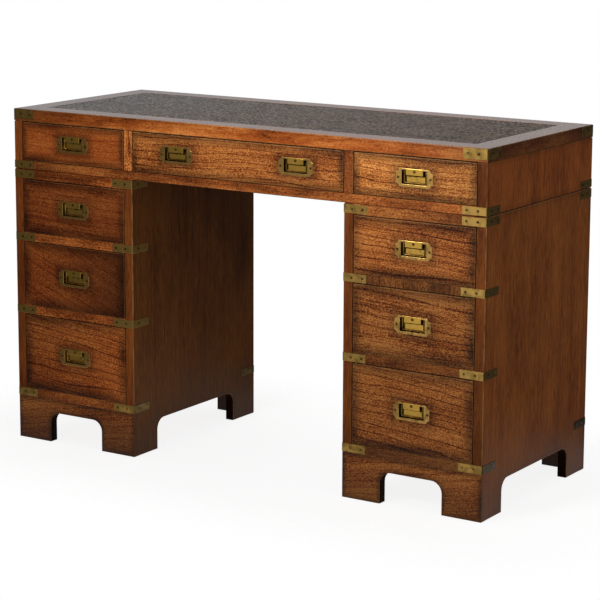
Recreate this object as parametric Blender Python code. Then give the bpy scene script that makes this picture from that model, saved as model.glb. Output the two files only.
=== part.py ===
"""Campaign writing desk: a top section of three drawers that stands on two pedestals of three.

Metres, +Z up. The origin is on the floor under the middle of the desk. The drawers face -Y
and +X is to the right of someone who looks at them.
"""
import math
from typing import NamedTuple

import bmesh
import bpy
from mathutils import Matrix, Vector

# Plan of the desk
PEDESTAL_WIDTH = 0.335
KNEEHOLE_WIDTH = 0.550
DESK_DEPTH = 0.480

# Boards of the carcase
PANEL_THICKNESS = 0.022
TOP_BOARD_THICKNESS = 0.028
TOP_FLOOR_THICKNESS = 0.020
PEDESTAL_TOP_THICKNESS = 0.022
PEDESTAL_FLOOR_THICKNESS = 0.020
DUSTBOARD_THICKNESS = 0.020
BACK_THICKNESS = 0.010
BACK_INSET = 0.004

# Heights of the drawer openings
TOP_DRAWER_HEIGHT = 0.090
UPPER_DRAWER_HEIGHT = 0.124
MIDDLE_DRAWER_HEIGHT = 0.150
LOWER_DRAWER_HEIGHT = 0.176

# Plinth with its bracket feet
PLINTH_HEIGHT = 0.100
PLINTH_BOARD = 0.022
PLINTH_CEILING = 0.012
FRONT_FOOT_WIDTH = 0.093
SIDE_FOOT_WIDTH = 0.088
ARCH_HEIGHT = 0.070
ARCH_RADIUS = 0.025

# Leather let into the top board
LEATHER_BORDER = 0.055
LEATHER_THICKNESS = 0.002

# Drawers
FRONT_GAP = 0.0015
WOOD_BEHIND_CUP = 0.0062
BOX_WALL = 0.010
BOX_FLOOR = 0.006
BOX_FLOOR_RAISE = 0.008
BOX_SIDE_CLEARANCE = 0.001
BOX_TOP_CLEARANCE = 0.008
BOX_BACK_CLEARANCE = 0.015
MIDDLE_HANDLE_INSET = 0.120

# Flush handle: plate with a cup behind it
PLATE_WIDTH = 0.086
PLATE_HEIGHT = 0.038
PLATE_THICKNESS = 0.0016
PLATE_COVE = 0.008
PLATE_END_BORDER = 0.0135
PLATE_TOP_BORDER = 0.0035
PLATE_BOTTOM_BORDER = 0.0055
TAB_DROP = 0.0095
CUP_DEPTH = 0.012
CUP_WALL = 0.0015
CUP_LEDGE = 0.0004

# Bail that swings out of the cup
BAIL_LEG = 0.0045
BAIL_BAR = 0.0045
BAIL_THICKNESS = 0.0035
BAIL_CORNER = 0.005
BAIL_EYE = 0.002
BAIL_PIVOT_DEPTH = 0.0055
BAIL_SIDE_CLEARANCE = 0.0035
BAIL_FOOT_CLEARANCE = 0.002
BAIL_TURN_CLEARANCE = 0.0006
TAB_CLEARANCE = 0.0015
PIN_RADIUS = 0.0012
PIN_CLEARANCE = 0.0003
PIN_BITE = 0.001

# Gap that touching pieces keep, how far a cutter passes a face, and the weld of a curve's caps
SEAT_GAP = 0.0003
CUT_OVERRUN = 0.002
WELD_DISTANCE = 0.00003

# Facets
COVE_STEPS = 6
ARCH_STEPS = 8
BAIL_STEPS = 4
PIN_SIDES = 10

# Plan and levels that follow
DESK_WIDTH = 2 * PEDESTAL_WIDTH + KNEEHOLE_WIDTH
FRONT_Y = -DESK_DEPTH / 2
BACK_Y = DESK_DEPTH / 2
BACK_FACE_Y = BACK_Y - BACK_INSET - BACK_THICKNESS
BOARD_END_Y = BACK_FACE_Y - SEAT_GAP

FLOOR_TOP = PLINTH_HEIGHT + PEDESTAL_FLOOR_THICKNESS
LOWER_BOARD = FLOOR_TOP + LOWER_DRAWER_HEIGHT
MIDDLE_BOTTOM = LOWER_BOARD + DUSTBOARD_THICKNESS
UPPER_BOARD = MIDDLE_BOTTOM + MIDDLE_DRAWER_HEIGHT
UPPER_BOTTOM = UPPER_BOARD + DUSTBOARD_THICKNESS
PEDESTAL_LID = UPPER_BOTTOM + UPPER_DRAWER_HEIGHT
PEDESTAL_HEIGHT = PEDESTAL_LID + PEDESTAL_TOP_THICKNESS
TOP_FLOOR_TOP = PEDESTAL_HEIGHT + TOP_FLOOR_THICKNESS
TOP_BOARD_BOTTOM = TOP_FLOOR_TOP + TOP_DRAWER_HEIGHT
DESK_HEIGHT = TOP_BOARD_BOTTOM + TOP_BOARD_THICKNESS

# Handle sizes that follow, measured from the middle of the plate's face
OPENING_WIDTH = PLATE_WIDTH - 2 * PLATE_END_BORDER
OPENING_TOP = PLATE_HEIGHT / 2 - PLATE_TOP_BORDER
OPENING_BOTTOM = PLATE_BOTTOM_BORDER - PLATE_HEIGHT / 2
CUP_HALF_WIDTH = OPENING_WIDTH / 2 + CUP_LEDGE + CUP_WALL
CUP_TOP = OPENING_TOP + CUP_LEDGE + CUP_WALL
CUP_BOTTOM = OPENING_BOTTOM - CUP_LEDGE - CUP_WALL
CUP_BACK = CUP_DEPTH + CUP_WALL
BAIL_WIDTH = OPENING_WIDTH - 2 * BAIL_SIDE_CLEARANCE
TAB_WIDTH = BAIL_WIDTH - 2 * (BAIL_LEG + TAB_CLEARANCE)
PIVOT_Z = OPENING_TOP - math.hypot(BAIL_EYE, BAIL_THICKNESS / 2) - BAIL_TURN_CLEARANCE
BAIL_REACH = PIVOT_Z - OPENING_BOTTOM - BAIL_FOOT_CLEARANCE
PIN_END = OPENING_WIDTH / 2 + CUP_LEDGE + PIN_BITE
FRONT_THICKNESS = CUP_BACK + SEAT_GAP + WOOD_BEHIND_CUP


class Opening(NamedTuple):
    """One drawer's opening in the carcase, and where its handles sit across it."""
    name: str
    x_low: float
    x_high: float
    z_low: float
    z_high: float
    handles: dict


def clear_scene():
    """Removes what the scene holds, so that the model stands alone in it."""
    for item in list(bpy.data.objects):
        bpy.data.objects.remove(item, do_unlink=True)


def new_collection(name):
    """Returns a new collection under the scene."""
    collection = bpy.data.collections.new(name)
    bpy.context.scene.collection.children.link(collection)
    return collection


def finish(name, color, roughness, metallic=0.0):
    """Returns a material with one colour, roughness and metallic value."""
    material = bpy.data.materials.new(name)
    material.use_nodes = True
    shader = material.node_tree.nodes["Principled BSDF"]
    shader.inputs["Base Color"].default_value = (*color, 1.0)
    shader.inputs["Roughness"].default_value = roughness
    shader.inputs["Metallic"].default_value = metallic
    material.diffuse_color = (*color, 1.0)
    return material


clear_scene()
PARTS = new_collection("campaign_desk")
CUTTERS = new_collection("cutters")
FRONT_WOOD = finish("mahogany_fronts", (0.34, 0.13, 0.045), 0.35)
PANEL_WOOD = finish("mahogany_panels", (0.13, 0.05, 0.025), 0.40)
LINING_WOOD = finish("drawer_lining", (0.42, 0.27, 0.14), 0.60)
LEATHER = finish("writing_leather", (0.10, 0.075, 0.065), 0.55)
BRASS = finish("aged_brass", (0.60, 0.42, 0.14), 0.30, 1.0)


def place(name, mesh, material=None, location=(0, 0, 0), parent=None, collection=PARTS):
    """Returns an object that shows the mesh at a location under its parent."""
    item = bpy.data.objects.new(name, mesh)
    item.location = location
    item.parent = parent
    if material and material.name not in mesh.materials:
        mesh.materials.append(material)
    collection.objects.link(item)
    return item


def place_empty(name, location, parent=None):
    """Returns an empty that carries the pieces of one body."""
    item = place(name, None, location=location, parent=parent)
    item.empty_display_size = PANEL_THICKNESS
    return item


def box_mesh(name, low, high):
    """Returns the mesh of a box between two corners."""
    low, high = Vector(low), Vector(high)
    bm = bmesh.new()
    bmesh.ops.create_cube(bm, size=1.0)
    bmesh.ops.scale(bm, vec=high - low, verts=bm.verts)
    bmesh.ops.translate(bm, vec=(low + high) / 2, verts=bm.verts)
    return to_mesh(name, bm)


def rod_mesh(name, x_low, x_high, y, z, radius):
    """Returns the mesh of a round rod that lies along X."""
    bm = bmesh.new()
    bmesh.ops.create_cone(bm, cap_ends=True, segments=PIN_SIDES, radius1=radius, radius2=radius,
                          depth=x_high - x_low)
    bmesh.ops.rotate(bm, matrix=Matrix.Rotation(math.pi / 2, 3, "Y"), verts=bm.verts)
    bmesh.ops.translate(bm, vec=((x_low + x_high) / 2, y, z), verts=bm.verts)
    return to_mesh(name, bm)


def to_mesh(name, bm):
    """Returns a mesh made from a bmesh, and frees the bmesh."""
    mesh = bpy.data.meshes.new(name)
    bm.to_mesh(mesh)
    bm.free()
    return mesh


def board(name, low, high, material):
    """Returns a plain board between two corners, with its origin at its middle."""
    middle = (Vector(low) + Vector(high)) / 2
    return place(name, box_mesh(name, Vector(low) - middle, Vector(high) - middle), material, middle)


def evaluated_mesh(item):
    """Returns an object's mesh with its modifiers or curve settings applied."""
    bpy.context.view_layer.update()
    depsgraph = bpy.context.evaluated_depsgraph_get()
    return bpy.data.meshes.new_from_object(item.evaluated_get(depsgraph))


def outline_mesh(name, outlines, near, far):
    """Returns a flat solid from closed outlines in X and Z, from depth near to depth far in Y.

    The first outline is the rim and the others are holes in it.
    """
    curve = bpy.data.curves.new(name, "CURVE")
    curve.dimensions = "2D"
    curve.fill_mode = "BOTH"
    curve.extrude = (far - near) / 2
    for points in outlines:
        spline = curve.splines.new("POLY")
        spline.points.add(len(points) - 1)
        spline.use_cyclic_u = True
        for point, (x, z) in zip(spline.points, points):
            point.co = (x, z, 0.0, 1.0)
    item = place(name, curve, collection=CUTTERS)
    mesh = evaluated_mesh(item)
    bpy.data.objects.remove(item)
    bm = bmesh.new()
    bm.from_mesh(mesh)
    bmesh.ops.remove_doubles(bm, verts=bm.verts, dist=WELD_DISTANCE)
    bmesh.ops.rotate(bm, matrix=Matrix.Rotation(math.pi / 2, 3, "X"), verts=bm.verts)
    bmesh.ops.translate(bm, vec=(0, (near + far) / 2, 0), verts=bm.verts)
    bmesh.ops.recalc_face_normals(bm, faces=bm.faces)
    return to_mesh(name, bm)


def combined(base, operation, *others):
    """Returns a mesh joined with, or cut by, other meshes, one after the other."""
    item = place(base.name, base, collection=CUTTERS)
    helpers = [place(other.name, other, collection=CUTTERS) for other in others]
    for helper in helpers:
        add_boolean(item, operation, helper)
    mesh = evaluated_mesh(item)
    mesh.name = base.name
    for helper in [item, *helpers]:
        bpy.data.objects.remove(helper)
    return mesh


def add_boolean(item, operation, other):
    """Adds a Boolean modifier that joins an object with another or cuts it."""
    modifier = item.modifiers.new(other.name, "BOOLEAN")
    modifier.operation = operation
    modifier.solver = "EXACT"
    modifier.object = other


def arc(center, radius, start, end, steps):
    """Returns points on an arc about a centre, from one angle to another."""
    angles = [start + (end - start) * step / steps for step in range(steps + 1)]
    return [(center[0] + radius * math.cos(a), center[1] + radius * math.sin(a)) for a in angles]


def coved_outline(width, height, cove, grow=0.0):
    """Returns a rectangle whose corners are hollowed by arcs about them, grown by a gap."""
    radius = cove - grow
    lean = math.asin(grow / radius)
    points = []
    for x_side, z_side in ((1, 1), (-1, 1), (-1, -1), (1, -1)):
        corner = arc((0, 0), radius, 1.5 * math.pi + lean, math.pi - lean, COVE_STEPS)
        placed = [(x_side * (width / 2 + x), z_side * (height / 2 + z)) for x, z in corner]
        points += placed if x_side == z_side else placed[::-1]
    return points


def handle_opening_outline():
    """Returns the plate's opening: a rectangle with the tab hanging into its upper edge."""
    half, tab, tab_foot = OPENING_WIDTH / 2, TAB_WIDTH / 2, OPENING_TOP - TAB_DROP
    return [(-half, OPENING_BOTTOM), (half, OPENING_BOTTOM), (half, OPENING_TOP), (tab, OPENING_TOP),
            (tab, tab_foot), (-tab, tab_foot), (-tab, OPENING_TOP), (-half, OPENING_TOP)]


def handle_plate_mesh():
    """Returns the plate with its cup and the two holes that carry the bail's pins."""
    outlines = [coved_outline(PLATE_WIDTH, PLATE_HEIGHT, PLATE_COVE), handle_opening_outline()]
    plate = outline_mesh("handle_plate", outlines, 0.0, PLATE_THICKNESS)
    cup_front = PLATE_THICKNESS / 2
    cup = box_mesh("cup", (-CUP_HALF_WIDTH, cup_front, CUP_BOTTOM), (CUP_HALF_WIDTH, CUP_BACK, CUP_TOP))
    hollow = box_mesh("cup_hollow",
                      (CUP_WALL - CUP_HALF_WIDTH, cup_front - CUT_OVERRUN, CUP_BOTTOM + CUP_WALL),
                      (CUP_HALF_WIDTH - CUP_WALL, CUP_DEPTH, CUP_TOP - CUP_WALL))
    cup = combined(cup, "DIFFERENCE", hollow)
    reach = CUP_HALF_WIDTH + CUT_OVERRUN
    holes = rod_mesh("pin_holes", -reach, reach, BAIL_PIVOT_DEPTH, PIVOT_Z, PIN_RADIUS + PIN_CLEARANCE)
    return combined(combined(plate, "UNION", cup), "DIFFERENCE", holes)


def handle_recess_mesh():
    """Returns the cutter that sinks a handle into a drawer's front."""
    rim = coved_outline(PLATE_WIDTH, PLATE_HEIGHT, PLATE_COVE, SEAT_GAP)
    seat = outline_mesh("handle_seat", [rim], -CUT_OVERRUN, PLATE_THICKNESS + SEAT_GAP)
    pocket = box_mesh("handle_pocket",
                      (-CUP_HALF_WIDTH - SEAT_GAP, -CUT_OVERRUN / 2, CUP_BOTTOM - SEAT_GAP),
                      (CUP_HALF_WIDTH + SEAT_GAP, CUP_BACK + SEAT_GAP, CUP_TOP + SEAT_GAP))
    return combined(seat, "UNION", pocket)


def bail_mesh():
    """Returns the bail, with the axis of its pins at the origin and its bar hanging below."""
    half, inner = BAIL_WIDTH / 2, BAIL_WIDTH / 2 - BAIL_LEG
    corner_z = BAIL_CORNER - BAIL_REACH
    foot_right = arc((half - BAIL_CORNER, corner_z), BAIL_CORNER, 0.0, -math.pi / 2, BAIL_STEPS)
    foot_left = [(-x, z) for x, z in foot_right[::-1]]
    bar_top = BAIL_BAR - BAIL_REACH
    outline = [(half, BAIL_EYE), *foot_right, *foot_left, (-half, BAIL_EYE), (-inner, BAIL_EYE),
               (-inner, bar_top), (inner, bar_top), (inner, BAIL_EYE)]
    bow = outline_mesh("handle_bail", [outline], -BAIL_THICKNESS / 2, BAIL_THICKNESS / 2)
    pin_root = half - PIN_BITE
    pins = [rod_mesh("right_pin", pin_root, PIN_END, 0, 0, PIN_RADIUS),
            rod_mesh("left_pin", -PIN_END, -pin_root, 0, 0, PIN_RADIUS)]
    return combined(bow, "UNION", *pins)


def drawer_box_mesh(name, width, z_low, z_high, length):
    """Returns a drawer's sides, back and raised floor as one tray, open above and at its front."""
    half = width / 2
    floor_low = z_low + BOX_FLOOR_RAISE
    floor_high = floor_low + BOX_FLOOR
    y_low = FRONT_THICKNESS + SEAT_GAP
    y_high = y_low + length
    block = box_mesh(name, (-half, y_low, z_low), (half, y_high, z_high))
    inside = box_mesh("inside", (BOX_WALL - half, y_low - CUT_OVERRUN, floor_high),
                      (half - BOX_WALL, y_high - BOX_WALL, z_high + CUT_OVERRUN))
    underside = box_mesh("underside", (BOX_WALL - half, y_low - CUT_OVERRUN, z_low - CUT_OVERRUN),
                         (half - BOX_WALL, y_high + CUT_OVERRUN, floor_low))
    return combined(block, "DIFFERENCE", inside, underside)


def build_drawer(opening, plate, recess, bail):
    """Builds one drawer: its front, its box and its handles, under an empty on its slide."""
    width = opening.x_high - opening.x_low
    height = opening.z_high - opening.z_low
    middle = ((opening.x_low + opening.x_high) / 2, FRONT_Y, (opening.z_low + opening.z_high) / 2)
    body = place_empty("drawer_" + opening.name, middle)
    half_width, half_height = width / 2 - FRONT_GAP, height / 2 - FRONT_GAP
    front_name = "drawer_front_" + opening.name
    face = box_mesh(front_name, (-half_width, 0, -half_height), (half_width, FRONT_THICKNESS, half_height))
    front = place(front_name, face, FRONT_WOOD, parent=body)
    box_name = "drawer_box_" + opening.name
    length = BOARD_END_Y - FRONT_Y - FRONT_THICKNESS - SEAT_GAP - BOX_BACK_CLEARANCE
    tray = drawer_box_mesh(box_name, width - 2 * BOX_SIDE_CLEARANCE, SEAT_GAP - height / 2,
                           height / 2 - BOX_TOP_CLEARANCE, length)
    place(box_name, tray, LINING_WOOD, parent=body)
    for handle, x in opening.handles.items():
        cutter = place("recess_" + handle, recess, location=(x, 0, 0), parent=body, collection=CUTTERS)
        cutter.hide_render = True
        cutter.display_type = "WIRE"
        add_boolean(front, "DIFFERENCE", cutter)
        place("handle_plate_" + handle, plate, BRASS, (x, 0, 0), body)
        place("handle_bail_" + handle, bail, BRASS, (x, BAIL_PIVOT_DEPTH, PIVOT_Z), body)


def arch_outline(width):
    """Returns a plinth's arch: open at the floor, with rounded upper corners."""
    half = width / 2
    right = arc((half - ARCH_RADIUS, ARCH_HEIGHT - ARCH_RADIUS), ARCH_RADIUS, 0.0, math.pi / 2, ARCH_STEPS)
    left = [(-x, z) for x, z in right[::-1]]
    return [(half, -CUT_OVERRUN), *right, *left, (-half, -CUT_OVERRUN)]


def plinth_mesh(name):
    """Returns the plinth on its four bracket feet, with the pedestal's floor on it.

    The pedestal's middle is at X and Y 0, and the plinth stands on Z 0.
    """
    half_width, half_depth = PEDESTAL_WIDTH / 2, DESK_DEPTH / 2
    frame = box_mesh(name, (-half_width, -half_depth, 0), (half_width, half_depth, PLINTH_HEIGHT))
    hollow = box_mesh("plinth_hollow", (PLINTH_BOARD - half_width, PLINTH_BOARD - half_depth, -CUT_OVERRUN),
                      (half_width - PLINTH_BOARD, half_depth - PLINTH_BOARD, PLINTH_HEIGHT - PLINTH_CEILING))
    reach = half_depth + CUT_OVERRUN
    front_outline = arch_outline(PEDESTAL_WIDTH - 2 * FRONT_FOOT_WIDTH)
    front_arch = outline_mesh("front_arch", [front_outline], -reach, reach)
    reach = half_width + CUT_OVERRUN
    side_outline = arch_outline(DESK_DEPTH - 2 * SIDE_FOOT_WIDTH)
    side_arch = outline_mesh("side_arch", [side_outline], -reach, reach)
    side_arch.transform(Matrix.Rotation(math.pi / 2, 4, "Z"))
    feet = combined(frame, "DIFFERENCE", hollow, front_arch, side_arch)
    floor_half = half_width - PANEL_THICKNESS - SEAT_GAP
    floor_low = PLINTH_HEIGHT - PLINTH_CEILING / 2
    floor = box_mesh("floor", (-floor_half, -half_depth, floor_low), (floor_half, half_depth, FLOOR_TOP))
    return combined(feet, "UNION", floor)


def build_pedestal(side, direction):
    """Builds the fixed boards of one pedestal. Direction is -1 on the left and 1 on the right."""
    center = direction * (KNEEHOLE_WIDTH + PEDESTAL_WIDTH) / 2
    inner_half = PEDESTAL_WIDTH / 2 - PANEL_THICKNESS
    low, high = center - inner_half + SEAT_GAP, center + inner_half - SEAT_GAP
    plinth_name = f"{side}_plinth"
    place(plinth_name, plinth_mesh(plinth_name), PANEL_WOOD, (center, 0, 0))
    for panel, sign in (("outer_side", direction), ("inner_side", -direction)):
        faces = sorted((center + sign * inner_half, center + sign * PEDESTAL_WIDTH / 2))
        board(f"{side}_{panel}", (faces[0], FRONT_Y, PLINTH_HEIGHT + SEAT_GAP),
              (faces[1], BACK_Y, PEDESTAL_HEIGHT), PANEL_WOOD)
    board(f"{side}_top", (low, FRONT_Y, PEDESTAL_LID), (high, BACK_Y, PEDESTAL_HEIGHT), FRONT_WOOD)
    for level, bottom, top in (("lower", LOWER_BOARD, MIDDLE_BOTTOM), ("upper", UPPER_BOARD, UPPER_BOTTOM)):
        board(f"{side}_{level}_dustboard", (low, FRONT_Y, bottom), (high, BOARD_END_Y, top), FRONT_WOOD)
    board(f"{side}_back", (low, BACK_FACE_Y, FLOOR_TOP + SEAT_GAP),
          (high, BACK_FACE_Y + BACK_THICKNESS, PEDESTAL_LID - SEAT_GAP), PANEL_WOOD)


def build_top_section():
    """Builds the fixed boards of the section that lifts off the pedestals."""
    half, inner = DESK_WIDTH / 2, DESK_WIDTH / 2 - PANEL_THICKNESS
    low, high = PEDESTAL_HEIGHT + SEAT_GAP, TOP_BOARD_BOTTOM - SEAT_GAP
    board("top_end_left", (-half, FRONT_Y, low), (-inner, BACK_Y, high), PANEL_WOOD)
    board("top_end_right", (inner, FRONT_Y, low), (half, BACK_Y, high), PANEL_WOOD)
    width = inner - SEAT_GAP
    board("top_floor", (-width, FRONT_Y, low), (width, BACK_Y, TOP_FLOOR_TOP), FRONT_WOOD)
    board("top_back", (-width, BACK_FACE_Y, TOP_FLOOR_TOP + SEAT_GAP),
          (width, BACK_FACE_Y + BACK_THICKNESS, high), PANEL_WOOD)
    inside, outside = KNEEHOLE_WIDTH / 2, KNEEHOLE_WIDTH / 2 + PANEL_THICKNESS
    bottom = TOP_FLOOR_TOP + SEAT_GAP
    board("top_divider_left", (-outside, FRONT_Y, bottom), (-inside, BOARD_END_Y, high), FRONT_WOOD)
    board("top_divider_right", (inside, FRONT_Y, bottom), (outside, BOARD_END_Y, high), FRONT_WOOD)
    build_writing_surface(half)


def build_writing_surface(half):
    """Builds the top board and the leather that lies flush in its recess."""
    slab = box_mesh("top_board", (-half, FRONT_Y, TOP_BOARD_BOTTOM), (half, BACK_Y, DESK_HEIGHT))
    edge_x, edge_y = half - LEATHER_BORDER, DESK_DEPTH / 2 - LEATHER_BORDER
    recess = box_mesh("leather_recess", (-edge_x, -edge_y, DESK_HEIGHT - LEATHER_THICKNESS - SEAT_GAP),
                      (edge_x, edge_y, DESK_HEIGHT + CUT_OVERRUN))
    place("top_board", combined(slab, "DIFFERENCE", recess), FRONT_WOOD)
    board("leather_inlay", (SEAT_GAP - edge_x, SEAT_GAP - edge_y, DESK_HEIGHT - LEATHER_THICKNESS),
          (edge_x - SEAT_GAP, edge_y - SEAT_GAP, DESK_HEIGHT), LEATHER)


def drawer_openings():
    """Returns the nine openings: three in the top section and three in each pedestal."""
    inner, outer = KNEEHOLE_WIDTH / 2, DESK_WIDTH / 2
    handle_x = inner - MIDDLE_HANDLE_INSET
    pair = {"top_middle_left": -handle_x, "top_middle_right": handle_x}
    openings = [Opening("top_middle", -inner, inner, TOP_FLOOR_TOP, TOP_BOARD_BOTTOM, pair)]
    rows = (("lower", FLOOR_TOP, LOWER_BOARD), ("middle", MIDDLE_BOTTOM, UPPER_BOARD),
            ("upper", UPPER_BOTTOM, PEDESTAL_LID), ("top", TOP_FLOOR_TOP, TOP_BOARD_BOTTOM))
    for side, direction in (("left", -1), ("right", 1)):
        x_low, x_high = sorted((direction * (inner + PANEL_THICKNESS), direction * (outer - PANEL_THICKNESS)))
        for row, z_low, z_high in rows:
            name = f"{row}_{side}"
            openings.append(Opening(name, x_low, x_high, z_low, z_high, {name: 0.0}))
    return openings


def main():
    """Builds the carcase and then its drawers."""
    build_top_section()
    build_pedestal("left", -1)
    build_pedestal("right", 1)
    plate, recess, bail = handle_plate_mesh(), handle_recess_mesh(), bail_mesh()
    for opening in drawer_openings():
        build_drawer(opening, plate, recess, bail)


main()
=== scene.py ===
"""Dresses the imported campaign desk: mahogany boards, brass fittings and a leather writing surface."""

import logging
import math
from dataclasses import dataclass, replace
from enum import Enum

import bpy
import numpy as np
from mathutils import Matrix, Vector
from mathutils.geometry import tessellate_polygon


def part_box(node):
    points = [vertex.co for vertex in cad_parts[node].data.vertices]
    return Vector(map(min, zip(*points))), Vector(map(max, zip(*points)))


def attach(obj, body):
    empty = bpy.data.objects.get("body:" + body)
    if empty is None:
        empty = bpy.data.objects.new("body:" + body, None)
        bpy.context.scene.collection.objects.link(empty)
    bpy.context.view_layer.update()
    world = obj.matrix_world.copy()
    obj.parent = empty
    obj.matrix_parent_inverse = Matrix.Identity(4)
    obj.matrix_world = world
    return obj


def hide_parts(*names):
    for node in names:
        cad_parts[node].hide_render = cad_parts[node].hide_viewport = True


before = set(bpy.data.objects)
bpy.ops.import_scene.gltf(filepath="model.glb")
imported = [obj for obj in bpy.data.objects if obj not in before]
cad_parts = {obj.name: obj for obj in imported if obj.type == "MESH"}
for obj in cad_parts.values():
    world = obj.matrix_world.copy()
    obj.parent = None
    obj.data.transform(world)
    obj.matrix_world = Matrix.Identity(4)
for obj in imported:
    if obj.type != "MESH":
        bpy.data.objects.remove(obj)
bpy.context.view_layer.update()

LOG = logging.getLogger("campaign_desk")
MM = 0.001
CARCASE = "carcase"
SHARPEST = 0.02 * MM  # smallest radius that an arc keeps
NO_AREA = 1e-14  # triangles below this are left out of a flat face
THIN = 0.1 * MM  # distance within which points count as on one face
SMOOTH_BELOW = math.radians(38)  # faces that meet at less are shaded as one, where a piece is smooth
FIGURE_REACH = 4.0  # metres by which a board's figure is moved at most
LOG_STEP = 1000  # distance between the figures' numbers of two logs
FAR_SPOT = (9.0, 9.0, 0.0)  # a place far from any handle
PLATE_HALF = np.array([43.0, 19.0]) * MM  # half of a handle plate's width and height
PLATE_COVE = 8.0 * MM  # radius of the coves at the plate's corners
SEAT_INSET = 0.4 * MM  # how far the recess in the wood lies inside the plate's edge
MOST_NOISE = (0.3, 0.7)  # range that holds most of a soft noise
WHITE = (1.0, 1.0, 1.0, 1.0)

Array = np.ndarray
Pair = tuple[float, float]
Triple = tuple[float, float, float]
Quad = tuple[float, float, float, float]
Socket = bpy.types.NodeSocket
Value = Socket | float | tuple


class Axes(Enum):
    """Named directions, each with three axes as its value."""

    @property
    def axes(self) -> Array:
        """The three axes as the rows of an array."""
        return np.array(self.value, float)


class Facing(Axes):
    """The side that a board's good face looks to: directions of its width, its height and its face."""

    FRONT = ((1, 0, 0), (0, 0, 1), (0, -1, 0))
    BACK = ((-1, 0, 0), (0, 0, 1), (0, 1, 0))
    RIGHT = ((0, 1, 0), (0, 0, 1), (1, 0, 0))
    LEFT = ((0, -1, 0), (0, 0, 1), (-1, 0, 0))
    TOP = ((1, 0, 0), (0, 1, 0), (0, 0, 1))


class Edge(Axes):
    """An edge of the top: directions along it, inwards from it and upwards."""

    FRONT = ((1, 0, 0), (0, 1, 0), (0, 0, 1))
    BACK = ((-1, 0, 0), (0, -1, 0), (0, 0, 1))
    RIGHT = ((0, 1, 0), (-1, 0, 0), (0, 0, 1))
    LEFT = ((0, -1, 0), (1, 0, 0), (0, 0, 1))


class Grain(Enum):
    """The way a board's grain runs on its face, as the order of width, height and depth."""

    ALONG_WIDTH = (0, 1, 2)
    ALONG_HEIGHT = (1, 0, 2)
    ALONG_DEPTH = (2, 0, 1)


class Finish(Enum):
    """A surface of the desk, by the record's material slot and the name of its material."""

    FRONT = ("mahogany_front", "oiled_mahogany_figured")
    PANEL = ("mahogany_panel", "oiled_mahogany_straight")
    POLISH = ("mahogany_front", "polished_mahogany_border")
    LINING = ("drawer_lining", "bare_cedar_lining")
    LEATHER = ("writing_leather", "dyed_hide_waxed")
    BRASS = ("aged_brass", "aged_brass_sheet")
    HANDLED = ("aged_brass", "handled_brass_sheet")
    RUBBED = ("aged_brass", "rubbed_brass_sheet")
    BROWNED = ("aged_brass", "browned_brass")

    @property
    def slot(self) -> str:
        """The record's material slot."""
        return self.value[0]

    @property
    def label(self) -> str:
        """The material's name."""
        return self.value[1]


class Side(Enum):
    """The left or right of the desk, as seen by someone who faces the drawers."""

    LEFT = "left"
    RIGHT = "right"


# Surfaces


@dataclass
class Surface:
    """Points, faces and values at the points of one piece, before it becomes a mesh.

    Attributes:
        points: one row of three coordinates for each point, in metres.
        faces: the point numbers of each face.
        values: named arrays with one number, or three, for each point.
    """

    points: Array
    faces: list[list[int]]
    values: dict[str, Array]

    def placed(self, axes: Array, origin: Array | tuple) -> "Surface":
        """Returns the surface with its own axes laid along the given ones, from an origin."""
        return Surface(self.points @ axes + np.asarray(origin, float), self.faces, self.values)

    def joined(self, *others: "Surface") -> "Surface":
        """Joins this surface and others; a value that one of them lacks is 0 there.

        Args:
            others: the surfaces that join this one.

        Returns:
            One surface, with the points in the order given.
        """
        parts = [self, *others]
        starts = np.cumsum([0, *(len(part.points) for part in parts)])
        faces = [[int(i + start) for i in face]
                 for part, start in zip(parts, starts) for face in part.faces]
        names = {name: values.ndim for part in parts for name, values in part.values.items()}
        values = {}
        for name, ndim in names.items():
            blanks = [np.zeros((len(part.points), 3) if ndim == 2 else len(part.points)) for part in parts]
            columns = [part.values.get(name, blank) for part, blank in zip(parts, blanks)]
            values[name] = np.concatenate(columns)
        return Surface(np.concatenate([part.points for part in parts]), faces, values)

    def outward(self) -> "Surface":
        """Turns a closed surface's faces outwards.

        The volume is the sum of triple products over the triangles that each face is fanned into. Where
        it is negative, all faces are turned.

        Returns:
            The surface with a positive volume in its faces.
        """
        fans = np.array([(f[0], f[i], f[i + 1]) for f in self.faces for i in range(1, len(f) - 1)])
        a, b, c = (self.points[fans[:, i]] - self.points.mean(0) for i in range(3))
        if np.einsum("ij,ij->", a, np.cross(b, c)) < 0:
            return Surface(self.points, [face[::-1] for face in self.faces], self.values)
        return self


def unit(vectors: Array) -> Array:
    """Returns each row at a length of 1."""
    return vectors / np.linalg.norm(vectors, axis=1, keepdims=True)


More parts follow.
